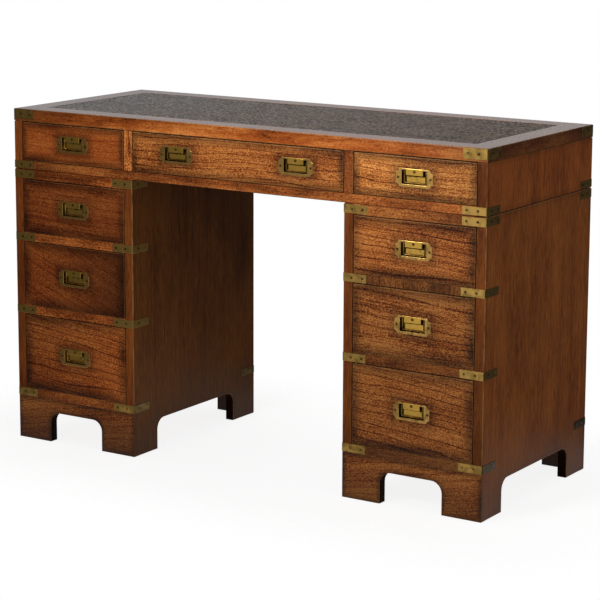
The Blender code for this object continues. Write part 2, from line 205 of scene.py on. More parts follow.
@dataclass(frozen=True)
class Outline:
    """A closed outline of straight sides whose corners may be rounded.

    Attributes:
        corners: the sharp corners, with the material on the left of the way round.
        radii: the radius of each corner, in metres.
        steps: chords in each corner's arc; 0 leaves the corners sharp.
    """

    corners: Array
    radii: Array
    steps: int

    @classmethod
    def of(cls, corners: Array | list, radius: float | Array | list = 0.0, steps: int = 3) -> "Outline":
        """Returns an outline with one radius for all corners, or one for each."""
        corners = np.array(corners, float)
        return cls(corners, np.broadcast_to(np.asarray(radius, float), len(corners)), steps)

    def moved(self, step: Array | tuple) -> "Outline":
        """Returns the outline at another place."""
        return Outline(self.corners + step, self.radii, self.steps)

    def reversed(self) -> "Outline":
        """Returns the outline the other way round, which makes a hole of it."""
        return Outline(self.corners[::-1], self.radii[::-1], self.steps)

    def rings(self, insets: Array | list) -> Array:
        """Moves the outline inwards by each of some distances.

        Corners move along their bisectors. A corner that bulges loses the distance from its radius and a
        hollow one gains it, so that the arcs keep their centres. Each arc is the rational quadratic curve
        whose control point is the corner and whose weight is the cosine of half the turn.

        Args:
            insets: the distances, in metres.

        Returns:
            An array of insets, points and coordinates.
        """
        insets = np.asarray(insets, float)
        before = unit(self.corners - np.roll(self.corners, 1, axis=0))
        after = np.roll(before, -1, axis=0)
        normal = np.stack([-before[:, 1], before[:, 0]], 1)
        bisector = normal + np.roll(normal, -1, axis=0)
        bisector = 2 * bisector / (bisector ** 2).sum(1, keepdims=True)
        corner = self.corners + insets[:, None, None] * bisector
        if not self.steps:
            return corner
        turn = np.arccos(np.clip((before * after).sum(1), -1, 1))
        bulge = np.sign(before[:, 0] * after[:, 1] - before[:, 1] * after[:, 0])
        radius = np.maximum(self.radii - insets[:, None] * bulge, SHARPEST)
        reach = (radius * np.tan(turn / 2))[..., None]
        ends = np.stack([corner - reach * before, corner, corner + reach * after], 2)
        t = np.linspace(0, 1, self.steps + 1)
        weight = np.cos(turn / 2)[:, None]
        blend = np.stack([(1 - t) ** 2 + 0 * weight, 2 * t * (1 - t) * weight, t ** 2 + 0 * weight], -1)
        blend /= blend.sum(-1, keepdims=True)
        return np.einsum("nsb,knbc->knsc", blend, ends).reshape(len(corner), -1, 2)


def rectangle(width: float, height: float, radius: float) -> Outline:
    """Returns a rectangle about the origin with rounded corners."""
    x, y = width / 2, height / 2
    return Outline.of([(-x, -y), (x, -y), (x, y), (-x, y)], radius)


def circle(radius: float, sides: int) -> Outline:
    """Returns a circle about the origin as points at equal angles."""
    angle = np.linspace(0, 2 * np.pi, sides, endpoint=False)
    return Outline.of(radius * np.stack([np.cos(angle), np.sin(angle)], 1), steps=0)


def grid_faces(rows: int, columns: int) -> Array:
    """Makes the quads of a grid of points whose last column joins its first.

    Args:
        rows, columns: how many points the grid has each way.

    Returns:
        One row of four point numbers for each quad.
    """
    row, column = np.meshgrid(np.arange(rows - 1), np.arange(columns), indexing="ij")
    near, beside = row * columns, (column + 1) % columns
    quads = np.stack([near + column, near + beside, near + columns + beside, near + columns + column], -1)
    return quads.reshape(-1, 4)


def cap_faces(rings: list[Array], numbers: list[Array], upward: bool) -> list[list[int]]:
    """Fills the flat face between a rim and its holes.

    Args:
        rings: flat points of the rim and of each hole.
        numbers: the point numbers of the same rings.
        upward: whether the face looks along the third axis or against it.

    Returns:
        The point numbers of each triangle.
    """
    flat, number = np.concatenate(rings), np.concatenate(numbers)
    loops = [[Vector((*point, 0.0)) for point in ring.tolist()] for ring in rings]
    triangles = np.array(tessellate_polygon(loops))
    a, b, c = (flat[triangles[:, i]] for i in range(3))
    turn = (b - a)[:, 0] * (c - a)[:, 1] - (b - a)[:, 1] * (c - a)[:, 0]
    triangles = np.where(((turn > 0) == upward)[:, None], triangles, triangles[:, ::-1])
    return number[triangles[np.abs(turn) > NO_AREA]].tolist()


def carried(outlines: list[Outline], profiles: list[Array]) -> Surface:
    """Makes a solid by carrying a profile round an outline.

    P(i, j) is the outline's point j after a move inwards by the profile's inset i, at the profile's depth
    i. The first and last rows are closed by flat faces.

    Args:
        outlines: the rim, which runs anticlockwise, and its holes, which run clockwise.
        profiles: rows of depth, inset, wear and rim for each outline, of the same length.

    Returns:
        The solid's surface, with wear and rim as its values.
    """
    points, faces, ends, values, count = [], [], [], [], 0
    for outline, profile in zip(outlines, profiles):
        flat = outline.rings(profile[:, 1])
        rows, columns = flat.shape[:2]
        depth = np.broadcast_to(profile[:, 0, None, None], (rows, columns, 1))
        points.append(np.concatenate([flat, depth], -1).reshape(-1, 3))
        values.append(np.repeat(profile[:, 2:], columns, axis=0))
        faces += (grid_faces(rows, columns) + count).tolist()
        number = np.arange(rows * columns).reshape(rows, columns) + count
        ends.append((flat[0], flat[-1], number[0], number[-1]))
        count += number.size
    faces += cap_faces([end[0] for end in ends], [end[2] for end in ends], False)
    faces += cap_faces([end[1] for end in ends], [end[3] for end in ends], True)
    wear, rim = np.concatenate(values).T
    return Surface(np.concatenate(points), faces, {"wear": wear, "rim": rim})


def board_profile(thickness: float, front: float, rear: float, rim: float, steps: int = 3) -> Array:
    """Makes the edge of a board from its rear face to its good face, at depth 0.

    Both arrises are quarter rounds, on which wear is the sine of twice the angle. A flat ring lies inside
    each face's edge. The value rim climbs from -1 on the board's edge to 0 at the face's edge and to 1
    across the ring.

    Args:
        thickness: the board's thickness.
        front, rear: radii of the good face's and the rear face's arrises.
        rim: width of the ring.
        steps: chords in each arris.

    Returns:
        Rows of depth, inset, wear and rim.
    """
    turn = np.linspace(0, np.pi / 2, steps + 1)
    sine, cosine, share = np.sin(turn), np.cos(turn), turn * 2 / np.pi
    wear = np.sin(2 * turn)
    back = np.stack([rear * (1 - cosine) - thickness, rear * (1 - sine), wear / 2, -share], 1)
    good = np.stack([front * (sine - 1), front * (1 - cosine), wear, share - 1], 1)
    return np.concatenate([[[-thickness, rear + rim, 0, 1]], back, good, [[0, front + rim, 0, 1]]])


@dataclass(frozen=True)
class BoardCut:
    """How a board was cut from the log and how it has aged.

    Attributes:
        grain: the way of the grain on the face.
        tilt: degrees that the grain leans from that way.
        tone: lightness against the finish's own colours.
        red: how far the board is redder than the finish's own colours.
        edge, inside: lightness of the board's edges and of its rear face against its good face.
        edge_red: how far its edges are redder, where they differ from its face.
        arris: radius of the good face's edges, in metres.
        rear: radius of the rear face's edges, in metres.
        rim: width of the darkened band inside the edges, in metres.
        wear_and_highlight: how far the arrises turn pale, partly from rubbing and partly as a painted
            highlight.
        lines, figure: how strongly the growth rings and the whole figure show.
        slope: how much lighter the board is at its right end than at its middle.
        climb: how much lighter it is at its top than at its middle.
        bare: how far its edges were left without oil and wax.
        log: the log that it comes from, which gives it another figure.
    """

    grain: Grain = Grain.ALONG_WIDTH
    tilt: float = 0.0
    tone: float = 1.0
    red: float = 0.0
    edge: float = 1.0
    edge_red: float | None = None
    inside: float = 1.0
    arris: float = 1.2 * MM
    rear: float = 0.8 * MM
    rim: float = 14 * MM
    wear_and_highlight: float = 1.0
    lines: float = 1.0
    figure: float = 1.0
    slope: float = 0.0
    climb: float = 0.0
    bare: float = 0.0
    log: int = 0

    def values(self, surface: Surface, seed: int) -> Surface:
        """Adds the board's grain and tone to a surface that still lies along its own axes.

        The grain's coordinates are the surface's own, turned by the tilt and moved by an offset of
        the board's own, so that no two boards show the same figure. A redder board keeps its red and loses
        green, and half as much again of its blue.

        Args:
            surface: the board's surface, with wear and rim.
            seed: the board's number.

        Returns:
            The same surface.
        """
        values, points, count = surface.values, surface.points, len(surface.points)
        c, s = math.cos(math.radians(self.tilt)), math.sin(math.radians(self.tilt))
        offset = np.random.default_rng(seed + LOG_STEP * self.log).uniform(-FIGURE_REACH, FIGURE_REACH, 3)
        lean = np.array([[c, -s, 0], [s, c, 0], [0, 0, 1]])
        values["grain"] = points[:, list(self.grain.value)] @ lean + offset
        edge_red = self.red if self.edge_red is None else self.edge_red
        face, edge = (self.tone * np.array([1, 1 - red, 1 - 1.5 * red]) for red in (self.red, edge_red))
        edges = np.clip(-values["rim"], 0, 1)[:, None]
        inside = np.where(points[:, 2] < points[:, 2].min() + THIN, self.inside, 1.0)[:, None]
        across, up = (points[:, i:i + 1] / np.abs(points[:, i]).max() for i in (0, 1))
        faded = 1 + self.slope * across + self.climb * up
        values["tone"] = (face * (1 - edges) + edge * self.edge * edges) * inside * faded
        # Pale arrises: partly wear, partly a painted highlight
        values["wear"] = values["wear"] * self.wear_and_highlight
        values["bare"] = edges[:, 0] * self.bare
        values["lines"] = np.full(count, self.lines)
        values["figure"] = np.full(count, self.figure)
        values["spot"] = np.tile(FAR_SPOT, (count, 1))
        return surface


def node_box(node: str) -> tuple[Array, Array]:
    """Returns the lowest and the highest corner of a CAD node's box."""
    low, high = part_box(node)
    return np.array(low), np.array(high)


@dataclass
class Workshop:
    """Makes pieces from surfaces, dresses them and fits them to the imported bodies.

    Attributes:
        materials: the material of each finish.
        boards: how many boards were cut so far, which numbers their figure.
        widest_rim: the most that a board's darkened band takes of its width or height.
    """

    materials: dict[Finish, bpy.types.Material]
    boards: int = 0
    widest_rim: float = 0.3

    def fit(self, name: str, surface: Surface, finish: Finish, body: str, *nodes: str,
            smooth: bool = False) -> None:
        """Makes one piece.

        Args:
            name: the piece's name.
            surface: its shape, in place.
            finish: its finish.
            body: the body that it rides on.
            nodes: the CAD nodes that it stands for.
            smooth: whether faces that meet at a low angle are shaded as one.
        """
        surface = surface.outward()
        mesh = bpy.data.meshes.new(name)
        mesh.from_pydata(surface.points.tolist(), [], surface.faces)
        for key, values in surface.values.items():
            kind, item = ("FLOAT_VECTOR", "vector") if values.ndim == 2 else ("FLOAT", "value")
            attribute = mesh.attributes.new(key, kind, "POINT")
            attribute.data.foreach_set(item, values.astype(np.float32).ravel())
        mesh.validate()
        if smooth:
            mesh.shade_smooth()
            mesh.set_sharp_from_angle(angle=SMOOTH_BELOW)
        mesh.materials.append(self.materials[finish])
        piece = bpy.data.objects.new(name, mesh)
        bpy.context.scene.collection.objects.link(piece)
        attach(piece, body)
        if nodes:
            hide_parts(*nodes)
        LOG.info("%s: %d faces, %s, rides on %s", name, len(surface.faces), finish.label, body)

    def board(self, low: Array, high: Array, facing: Facing, cut: BoardCut,
              outline: Outline | None = None) -> Surface:
        """Cuts a board that fills a box, or that has an outline about the box's middle.

        Args:
            low: the box's lowest corner.
            high: its highest corner.
            facing: the side that the good face looks to.
            cut: grain, tone and edges.
            outline: the face's outline in width and height, or None for the whole box.

        Returns:
            The board's surface, in place.
        """
        self.boards += 1
        low, high, axes = np.array(low), np.array(high), facing.axes
        width, height, thickness = np.abs(axes @ (high - low))
        if outline is None:
            outline = rectangle(width, height, cut.arris)
        rim = min(cut.rim, self.widest_rim * min(width, height))
        surface = carried([outline], [board_profile(thickness, cut.arris, cut.rear, rim)])
        return cut.values(surface, self.boards).placed(axes, (low + high) / 2 + axes[2] * thickness / 2)

    def fill(self, name: str, node: str, facing: Facing, cut: BoardCut, finish: Finish) -> None:
        """Makes a fixed board that fills the box of the CAD node that it stands for."""
        self.fit(name, self.board(*node_box(node), facing, cut), finish, CARCASE, node)


# Finishes


def hex_linear(code: str) -> Quad:
    """Turns an sRGB hex colour into linear red, green and blue.

    Args:
        code: the colour as a hash sign and six hex digits.

    Returns:
        Red, green and blue, and an alpha of 1.
    """
    channel = np.array([int(code[i:i + 2], 16) for i in (1, 3, 5)]) / 255
    linear = np.where(channel <= 0.04045, channel / 12.92, ((channel + 0.055) / 1.055) ** 2.4)
    return (*linear.tolist(), 1.0)


def per_metre(along_mm: float, across_mm: float) -> Triple:
    """Returns a pattern's scale along and across the grain from its real sizes in millimetres."""
    return (1 / (along_mm * MM), 1 / (across_mm * MM), 1 / (across_mm * MM))


def add_node(tree: bpy.types.NodeTree, kind: str, settings: dict | None = None,
             inputs: dict | None = None) -> bpy.types.Node:
    """Adds a node with its settings and links.

    Args:
        tree: the tree that the node joins.
        kind: the node's type, without the words that all types start with.
        settings: the node's properties by name.
        inputs: a value, or another node's output, for each input by name or number.

    Returns:
        The node.
    """
    node = tree.nodes.new("ShaderNode" + kind)
    for name, value in (settings or {}).items():
        setattr(node, name, value)
    for key, value in (inputs or {}).items():
        if isinstance(value, Socket):
            tree.links.new(value, node.inputs[key])
        else:
            node.inputs[key].default_value = value
    return node


@dataclass(frozen=True)
class Recipe:
    """A node tree, with one method for each kind of node that the finishes use often.

    Attributes:
        tree: the tree that the nodes join.
    """

    tree: bpy.types.NodeTree

    def plain(self, kind: str, inputs: dict) -> Socket:
        """Returns the first output of a node that needs no settings."""
        return add_node(self.tree, kind, {}, inputs).outputs[0]

    def attribute(self, name: str, output: str = "Fac") -> Socket:
        """Returns a value that the piece carries at its points."""
        return add_node(self.tree, "Attribute", {"attribute_name": name}).outputs[output]

    def place(self) -> Socket:
        """Returns the place in the piece's own frame, in metres."""
        return add_node(self.tree, "TexCoord").outputs["Object"]

    def split(self, vector: Socket) -> list[Socket]:
        """Returns a vector's three coordinates."""
        return list(add_node(self.tree, "SeparateXYZ", {}, {0: vector}).outputs)

    def math(self, operation: str, *values: Value, clamp: bool = False) -> Socket:
        """Returns what an operation makes of some numbers."""
        settings = {"operation": operation, "use_clamp": clamp}
        return add_node(self.tree, "Math", settings, dict(enumerate(values))).outputs[0]

    def vector(self, operation: str, *values: Value) -> Socket:
        """Returns what an operation makes of some vectors: a vector, a length or a product."""
        node = add_node(self.tree, "VectorMath", {"operation": operation}, dict(enumerate(values)))
        return node.outputs["Value" if operation in ("LENGTH", "DOT_PRODUCT") else "Vector"]

    def noise(self, place: Socket, scale: float = 1.0, detail: float = 2.0, roughness: float = 0.5,
              output: int | str = 0) -> Socket:
        """Returns soft noise, of a scale per metre, with some octaves and their strength."""
        inputs = {"Vector": place, "Scale": scale, "Detail": detail, "Roughness": roughness}
        return add_node(self.tree, "TexNoise", {}, inputs).outputs[output]

    def ramp(self, value: Socket, low: float, high: float, start: float = 0.0, end: float = 1.0,
             smooth: bool = False) -> Socket:
        """Makes a number that goes from start to end while a value goes from low to high.

        Args:
            value: the value.
            low, high: the range that counts; outside it the number stays as it is at the range's end.
            start, end: the number at low and at high.
            smooth: whether the number eases in and out.

        Returns:
            The number.
        """
        inputs = {"Value": value, "From Min": low, "From Max": high, "To Min": start, "To Max": end}
        settings = {"interpolation_type": "SMOOTHSTEP" if smooth else "LINEAR"}
        return add_node(self.tree, "MapRange", settings, inputs).outputs[0]

    def mix(self, share: Value, first: Value, second: Value, blend: str = "MIX") -> Socket:
        """Returns a share of a second colour laid over a first one."""
        settings = {"data_type": "RGBA", "blend_type": blend}
        return add_node(self.tree, "Mix", settings, {0: share, 6: first, 7: second}).outputs[2]

    def outside(self, place: Socket, half: Triple) -> Socket:
        """Returns how far a place lies outside a box about the origin, from half the box's sizes."""
        beyond = self.vector("SUBTRACT", self.vector("ABSOLUTE", place), half)
        return self.vector("LENGTH", self.vector("MAXIMUM", beyond, (0.0, 0.0, 0.0)))

    def dress(self, shader: bpy.types.Node, colour: Socket, rough: Socket, height: Socket,
              relief: Pair, invert: bool = False) -> None:
        """Links a finish to its shader.

        Args:
            shader: the material's main shader.
            colour, rough: the finish's colour and roughness.
            height: the height of its relief, from 0 to 1.
            relief: the relief's strength and its depth in metres.
            invert: whether the relief goes inwards.
        """
        inputs = {"Strength": relief[0], "Distance": relief[1], "Height": height}
        bump = add_node(self.tree, "Bump", {"invert": invert}, inputs).outputs[0]
        for name, socket in (("Base Color", colour), ("Roughness", rough), ("Normal", bump)):
            self.tree.links.new(socket, shader.inputs[name])


def new_material(name: str) -> tuple[bpy.types.Material, Recipe, bpy.types.Node]:
    """Makes a material.

    Args:
        name: the material's name.

    Returns:
        The material, its tree and its main shader.
    """
    material = bpy.data.materials.new(name)
    material.use_nodes = True
    return material, Recipe(material.node_tree), material.node_tree.nodes["Principled BSDF"]


@dataclass(frozen=True)
class OiledWood:
    """Planed hardwood, stained, oiled and waxed by hand.

    Long streaks, short wavy mottles, fine fibres and dark pores lie along the grain, over slow light and
    dark clouds and thin growth lines with one sharp side. Wax and soil darken the board towards its edges
    and round the handles, painted shade darkens it near the floor, and a pale line on its arrises is partly
    rubbed wear and partly a painted highlight. Fibres and pores are too fine for the image, so they are
    drawn as coarse as it needs.

    Attributes:
        light, middle, dark, wear_and_highlight: sRGB colours of early wood, ground, late wood and the pale
        arrises, which are partly wear and partly a painted highlight.
        drift_mm, wander: size of the swells that bend the grain, and how far they bend it in metres.
        cloud_mm, streak_mm, mottle_mm, fibre_mm, pore_mm: lengths and widths of the marks along the grain.
        crisp: how strong the finer part of each mark is.
        ring_mm: distance between the growth rings.
        loop_mm, swell: size of the slow swells that bend the rings, and by how many rings.
        ring_band, pore_band: the part of a ring that is dark, and the noise that makes a pore.
        weights: shares of cloud, streak, mottle, fibre, ring and pore in the wood's lightness.
        patina: how far the edges and the handle's surround darken.
        halo, halo_share: width of a handle's darkened surround in metres, and how dark it is.
        patch, patch_band: how far the dirt stays where the clouds are dark and where they are light.
        floor_shade: height over which painted shade darkens the wood towards the floor, in metres, and
            lightness at the floor.
        rubbed, rub_band: how far the pale arris line, partly rubbing and partly a painted highlight, shows
            between fibres and on them.
        roughness: middle roughness of the waxed face.
        sheen: how much smoother and rougher than that it is in places.
        specular: how much of a clear coat's reflection the wax gives; 0.5 is a full one.
        relief, relief_depth: strength and depth of the pores and fibres under the wax.
    """

    light: str
    middle: str
    dark: str
    wear_and_highlight: str
    drift_mm: Pair = (90.0, 40.0)
    wander: float = 10 * MM
    cloud_mm: Pair = (170.0, 55.0)
    streak_mm: Pair = (260.0, 3.6)
    mottle_mm: Pair = (22.0, 3.4)
    fibre_mm: Pair = (3.8, 2.4)
    pore_mm: Pair = (60.0, 1.8)
    crisp: float = 0.55
    loop_mm: Pair = (420.0, 60.0)
    ring_mm: float = 17.0
    swell: float = 3.0
    ring_band: Pair = (0.84, 0.97)
    pore_band: Pair = (0.56, 0.72)
    weights: tuple[float, ...] = (0.7, 0.75, 0.4, 2.1, -0.42, -0.15)
    patina: float = 0.8
    halo: float = 24 * MM
    halo_share: float = 0.65
    patch: Pair = (1.0, 0.6)
    patch_band: Pair = (0.3, 0.65)
    floor_shade: Pair = (0.14, 0.54)
    rubbed: Pair = (0.1, 0.6)
    rub_band: Pair = (0.35, 0.65)
    roughness: float = 0.42
    sheen: Pair = (0.07, 0.09)
    specular: float = 0.16
    relief: float = 0.25
    relief_depth: float = 0.3 * MM

    def build(self, name: str) -> bpy.types.Material:
        """Makes the material: the figure, the board's own tone, dirt and rubbed arrises.

        Args:
            name: the material's name.

        Returns:
            The material.
        """
        material, nodes, shader = new_material(name)
        marks = self.marks(nodes)
        fibre = marks["fibre"]
        board = nodes.mix(1.0, self.figured(nodes, marks), nodes.attribute("tone", "Color"), "MULTIPLY")
        aged = nodes.mix(1.0, board, self.darkening(nodes, marks["cloud"]), "MULTIPLY")
        # The pale arris line is partly rubbed wear and partly a painted highlight
        bared = nodes.ramp(fibre, *self.rub_band, *self.rubbed)
        rub = nodes.math("MULTIPLY", nodes.attribute("wear"), bared)
        face = nodes.mix(rub, aged, hex_linear(self.wear_and_highlight))
        # Pores and late wood sit a little lower, and edges without wax are matt
        height = nodes.math("SUBTRACT", fibre, nodes.math("MAXIMUM", marks["pore"], marks["ring"]))
        smoother, rougher = self.sheen
        gloss = nodes.ramp(fibre, *MOST_NOISE, self.roughness - smoother, self.roughness + rougher)
        rough = nodes.math("ADD", gloss, nodes.attribute("bare"), clamp=True)
        shader.inputs["Specular IOR Level"].default_value = self.specular
        nodes.dress(shader, face, rough, height, (self.relief, self.relief_depth))
        return material

    def marks(self, nodes: Recipe) -> dict[str, Socket]:
        """Makes the marks that lie along the grain.

        Each mark is the same noise, stretched to the mark's length and width. The rings are the fraction
        of the distance across the grain, counted in rings and bent by slow swells.

        Args:
            nodes: the material's tree.

        Returns:
            Each mark by its name, in the order of the weights.
        """
        grain = nodes.attribute("grain", "Vector")
        drift = nodes.noise(nodes.vector("MULTIPLY", grain, per_metre(*self.drift_mm)), output="Color")
        bent = nodes.vector("MULTIPLY_ADD", drift, (0.0, self.wander, self.wander), grain)
        sizes = {"cloud": (self.cloud_mm, 1.0), "streak": (self.streak_mm, 2.0),
                 "mottle": (self.mottle_mm, 2.0), "fibre": (self.fibre_mm, 2.0),
                 "ring": (self.loop_mm, 0.5), "pore": (self.pore_mm, 1.0)}
        marks = {}
        for name, (size, detail) in sizes.items():
            place = nodes.vector("MULTIPLY", bent, per_metre(*size))
            marks[name] = nodes.noise(place, 1.0, detail, self.crisp)
        count = nodes.math("DIVIDE", nodes.split(bent)[1], self.ring_mm * MM)
        saw = nodes.math("FRACT", nodes.math("MULTIPLY_ADD", marks["ring"], self.swell, count))
        marks["ring"] = nodes.ramp(saw, *self.ring_band, smooth=True)
        marks["pore"] = nodes.ramp(marks["pore"], *self.pore_band, smooth=True)
        return marks

    def figured(self, nodes: Recipe, marks: dict[str, Socket]) -> Socket:
        """Makes the bare wood's colour from a weighed sum of its marks.

        In the sum, 0 is late wood and 1 is early wood. The board's own figure stretches it about 0.5.

        Args:
            nodes: the material's tree.
            marks: the marks by their names.

        Returns:
            The colour.
        """
        shown = marks | {"ring": nodes.math("MULTIPLY", marks["ring"], nodes.attribute("lines"))}
        total: Value = 0.5 - sum(self.weights[:4]) / 2 - sum(self.weights[4:]) / 4
        for mark, weight in zip(shown.values(), self.weights):
            total = nodes.math("MULTIPLY_ADD", mark, weight, total)
        spread = nodes.math("SUBTRACT", total, 0.5)
        total = nodes.math("MULTIPLY_ADD", spread, nodes.attribute("figure"), 0.5)
        ground = nodes.mix(nodes.ramp(total, 0.0, 0.5), hex_linear(self.dark), hex_linear(self.middle))
        return nodes.mix(nodes.ramp(total, 0.5, 1.0), ground, hex_linear(self.light))

    def darkening(self, nodes: Recipe, cloud: Socket) -> Socket:
        """Makes the darkening of wax and soil at the edges and round the handles, and the painted shade
        near the floor.

        The spot attribute is the place on a drawer front and how far its handles lie from its middle, so
        that folding the front at its middle serves one handle or two.

        Args:
            nodes: the material's tree.
            cloud: the wood's clouds, which the dirt follows.

        Returns:
            What is left of the wood's lightness.
        """
        spot = nodes.split(nodes.attribute("spot", "Vector"))
        aside = nodes.math("SUBTRACT", nodes.math("ABSOLUTE", spot[0]), spot[2])
        around = nodes.plain("CombineXYZ", {0: aside, 1: spot[1]})
        gap = nodes.outside(around, (*PLATE_HALF.tolist(), 0.0))
        hands = nodes.ramp(gap, 0.0, self.halo, self.halo_share, 0.0, smooth=True)
        edge = nodes.ramp(nodes.attribute("rim"), 0.0, 1.0, 1.0, 0.0, smooth=True)
        patch = nodes.ramp(cloud, *self.patch_band, *self.patch)
        amount = nodes.math("MULTIPLY", nodes.math("MAXIMUM", edge, hands), patch)
        shade = nodes.math("MULTIPLY_ADD", amount, -self.patina, 1.0)
        # Painted shade that darkens the wood towards the floor
        height, lightness = self.floor_shade
        floor_shade = nodes.ramp(nodes.split(nodes.place())[2], 0.0, height, lightness, 1.0, smooth=True)
        return nodes.math("MULTIPLY", shade, floor_shade)


@dataclass(frozen=True)
class AgedBrass:
    """Sheet or turned brass, once polished and long since dulled.

    Handling keeps the edges bright, air browns the rest in clouds, painted shade darkens the straps' arms
    on the desk's sides, and fine scratches blur what the metal mirrors.

    Attributes:
        bright, dull, darkening: sRGB colours of the rubbed metal, the browned metal and the painted shade
            on it.
        roughness, blur: roughness of the rubbed metal, and how much rougher the browned metal is.
        cloud_mm: size of the browned clouds.
        brown_band, blur_band: parts of the clouds in which the metal browns and gets rougher.
        scratch_mm: length and width of a scratch, drawn as coarse as the image needs.
        relief, relief_depth: strength and depth of the scratches.
    """

    bright: str
    dull: str
    roughness: float
    # Colour of the painted shade on the straps' side arms
    darkening: str = "#14100A"
    blur: float = 0.08
    cloud_mm: float = 14.0
    brown_band: Pair = (0.38, 0.68)
    blur_band: Pair = (0.35, 0.7)
    scratch_mm: Pair = (30.0, 0.8)
    relief: float = 0.015
    relief_depth: float = 0.1 * MM

    def build(self, name: str) -> bpy.types.Material:
        """Makes the material.

        Args:
            name: the material's name.

        Returns:
            The material.
        """
        material, nodes, shader = new_material(name)
        place = nodes.place()
        cloud = nodes.noise(place, 1 / (self.cloud_mm * MM), 4.0, 0.6)
        along, across = (1 / (size * MM) for size in self.scratch_mm)
        scratch = nodes.noise(nodes.vector("MULTIPLY", place, (along, along, across)))
        browned = nodes.math("SUBTRACT", nodes.ramp(cloud, *self.brown_band), nodes.attribute("wear"),
                             clamp=True)
        metal = nodes.mix(browned, hex_linear(self.bright), hex_linear(self.dull))
        # Painted shade on the straps' arms along the desk's sides
        flank_shade = nodes.mix(nodes.attribute("painted_shade"), metal, hex_linear(self.darkening))
        rough = nodes.ramp(cloud, *self.blur_band, self.roughness, self.roughness + self.blur)
        shader.inputs["Metallic"].default_value = 1.0
        nodes.dress(shader, flank_shade, rough, scratch, (self.relief, self.relief_depth))
        return material


@dataclass(frozen=True)
class WaxedLeather:
    """Hide dyed dark, glued down and waxed.

    The hide's pebbles catch the light one by one, so that it looks mottled, and the wax gives a soft
    sheen at a low angle, less so where sleeves have rubbed it off.

    Attributes:
        dark, light: sRGB colours of the creases and of the pebbles' tops.
        pebble_mm: width of a pebble, drawn about twice its real size so that it shows.
        speck_mm, cloud_mm: sizes of the mottle and of the clouds that sleeves have rubbed.
        softness: how far the pebbles run into each other.
        mottle, fade_band: weight of the mottle against the clouds, and where their sum turns light.
        swell: how far the mottle stands out, against the pebbles.
        roughness: middle roughness.
        sheen: how much rougher and smoother than that it is in places.
        specular: how much of a clear coat's reflection the wax gives; 0.5 is a full one.
        relief, relief_depth: strength and depth of the pebbles.
    """

    dark: str
    light: str
    pebble_mm: float = 3.0
    softness: float = 0.4
    speck_mm: float = 6.0
    cloud_mm: float = 55.0
    mottle: float = 1.4
    fade_band: Pair = (0.9, 1.5)
    swell: float = 2.5
    roughness: float = 0.5
    sheen: Pair = (0.28, 0.2)
    specular: float = 0.5
    relief: float = 0.7
    relief_depth: float = 0.6 * MM

    def build(self, name: str) -> bpy.types.Material:
        """Makes the material.

        Args:
            name: the material's name.

        Returns:
            The material.
        """
        material, nodes, shader = new_material(name)
        place = nodes.place()
        inputs = {"Vector": place, "Scale": 1 / (self.pebble_mm * MM), "Smoothness": self.softness}
        pebble = add_node(nodes.tree, "TexVoronoi", {"feature": "SMOOTH_F1"}, inputs).outputs["Distance"]
        cloud = nodes.noise(place, 1 / (self.cloud_mm * MM), 5.0, 0.65)
        speck = nodes.noise(place, 1 / (self.speck_mm * MM), 3.0)
        faded = nodes.ramp(nodes.math("MULTIPLY_ADD", speck, self.mottle, cloud), *self.fade_band)
        hide = nodes.mix(faded, hex_linear(self.dark), hex_linear(self.light))
        dull, glossy = self.sheen
        sheen = nodes.ramp(speck, *MOST_NOISE, self.roughness + dull, self.roughness - glossy)
        lost = nodes.math("MULTIPLY_ADD", nodes.attribute("tone"), -1.0, 1.0)
        rough = nodes.math("ADD", sheen, lost)
        height = nodes.math("MULTIPLY_ADD", speck, -self.swell, pebble)
        shader.inputs["Specular IOR Level"].default_value = self.specular
        nodes.dress(shader, hide, rough, height, (self.relief, self.relief_depth), True)
        return material


MAHOGANY = OiledWood("#E0934A", "#A4541D", "#441707", "#DDA468")
FINISHES = {
    # Flat-sawn mahogany, planed, stained and oiled: warm red brown with dark lines and a soft gloss
    Finish.FRONT: MAHOGANY,
    # The same wood, filled and polished: smooth enough to mirror the room at a low angle
    Finish.POLISH: replace(MAHOGANY, streak_mm=(300.0, 7.0), weights=(0.9, 0.5, 0.6, 0.8, -0.15, -0.1),
                           roughness=0.3, specular=0.19, relief=0.0),
    # Quarter-sawn mahogany, stained darker and oiled: straight streaks and few lines on the large panels
    Finish.PANEL: OiledWood("#B46626", "#8C491D", "#3F180A", "#DDB07A", streak_mm=(420.0, 5.0),
                            mottle_mm=(70.0, 3.2), fibre_mm=(26.0, 2.4), loop_mm=(900.0, 90.0),
                            ring_mm=24.0, weights=(0.6, 0.4, 0.4, 1.0, -0.12, -0.2), patina=0.25,
                            floor_shade=(0.2, 0.46), specular=0.1),
    # Cedar, planed and left bare inside the drawers: pale and matt
    Finish.LINING: OiledWood("#D2A673", "#B98A58", "#8F6339", "#D9B486", streak_mm=(300.0, 9.0),
                             mottle_mm=(60.0, 5.0), patina=0.2, roughness=0.62),
    # Hide dyed dark brown and waxed: a mottled grey sheen at a low angle
    Finish.LEATHER: WaxedLeather("#1A110C", "#72563E"),
    # Rolled brass, cut, bent and left to air: dull yellow with browned clouds
    Finish.BRASS: AgedBrass("#D0A75A", "#8E7038", 0.36),
    # Cast plates that hands have polished: brighter, with a soft mirror
    Finish.HANDLED: AgedBrass("#E2B162", "#8A6836", 0.27),
    # Brass that fingers rub in one place: bright there, and nearly black in the corners as painted shade
    Finish.RUBBED: AgedBrass("#E6B654", "#2E210C", 0.30),
    # Turned screws and cast bails that nobody polishes: dark brown
    Finish.BROWNED: AgedBrass("#8F7038", "#4A3A18", 0.30),
}


# The desk


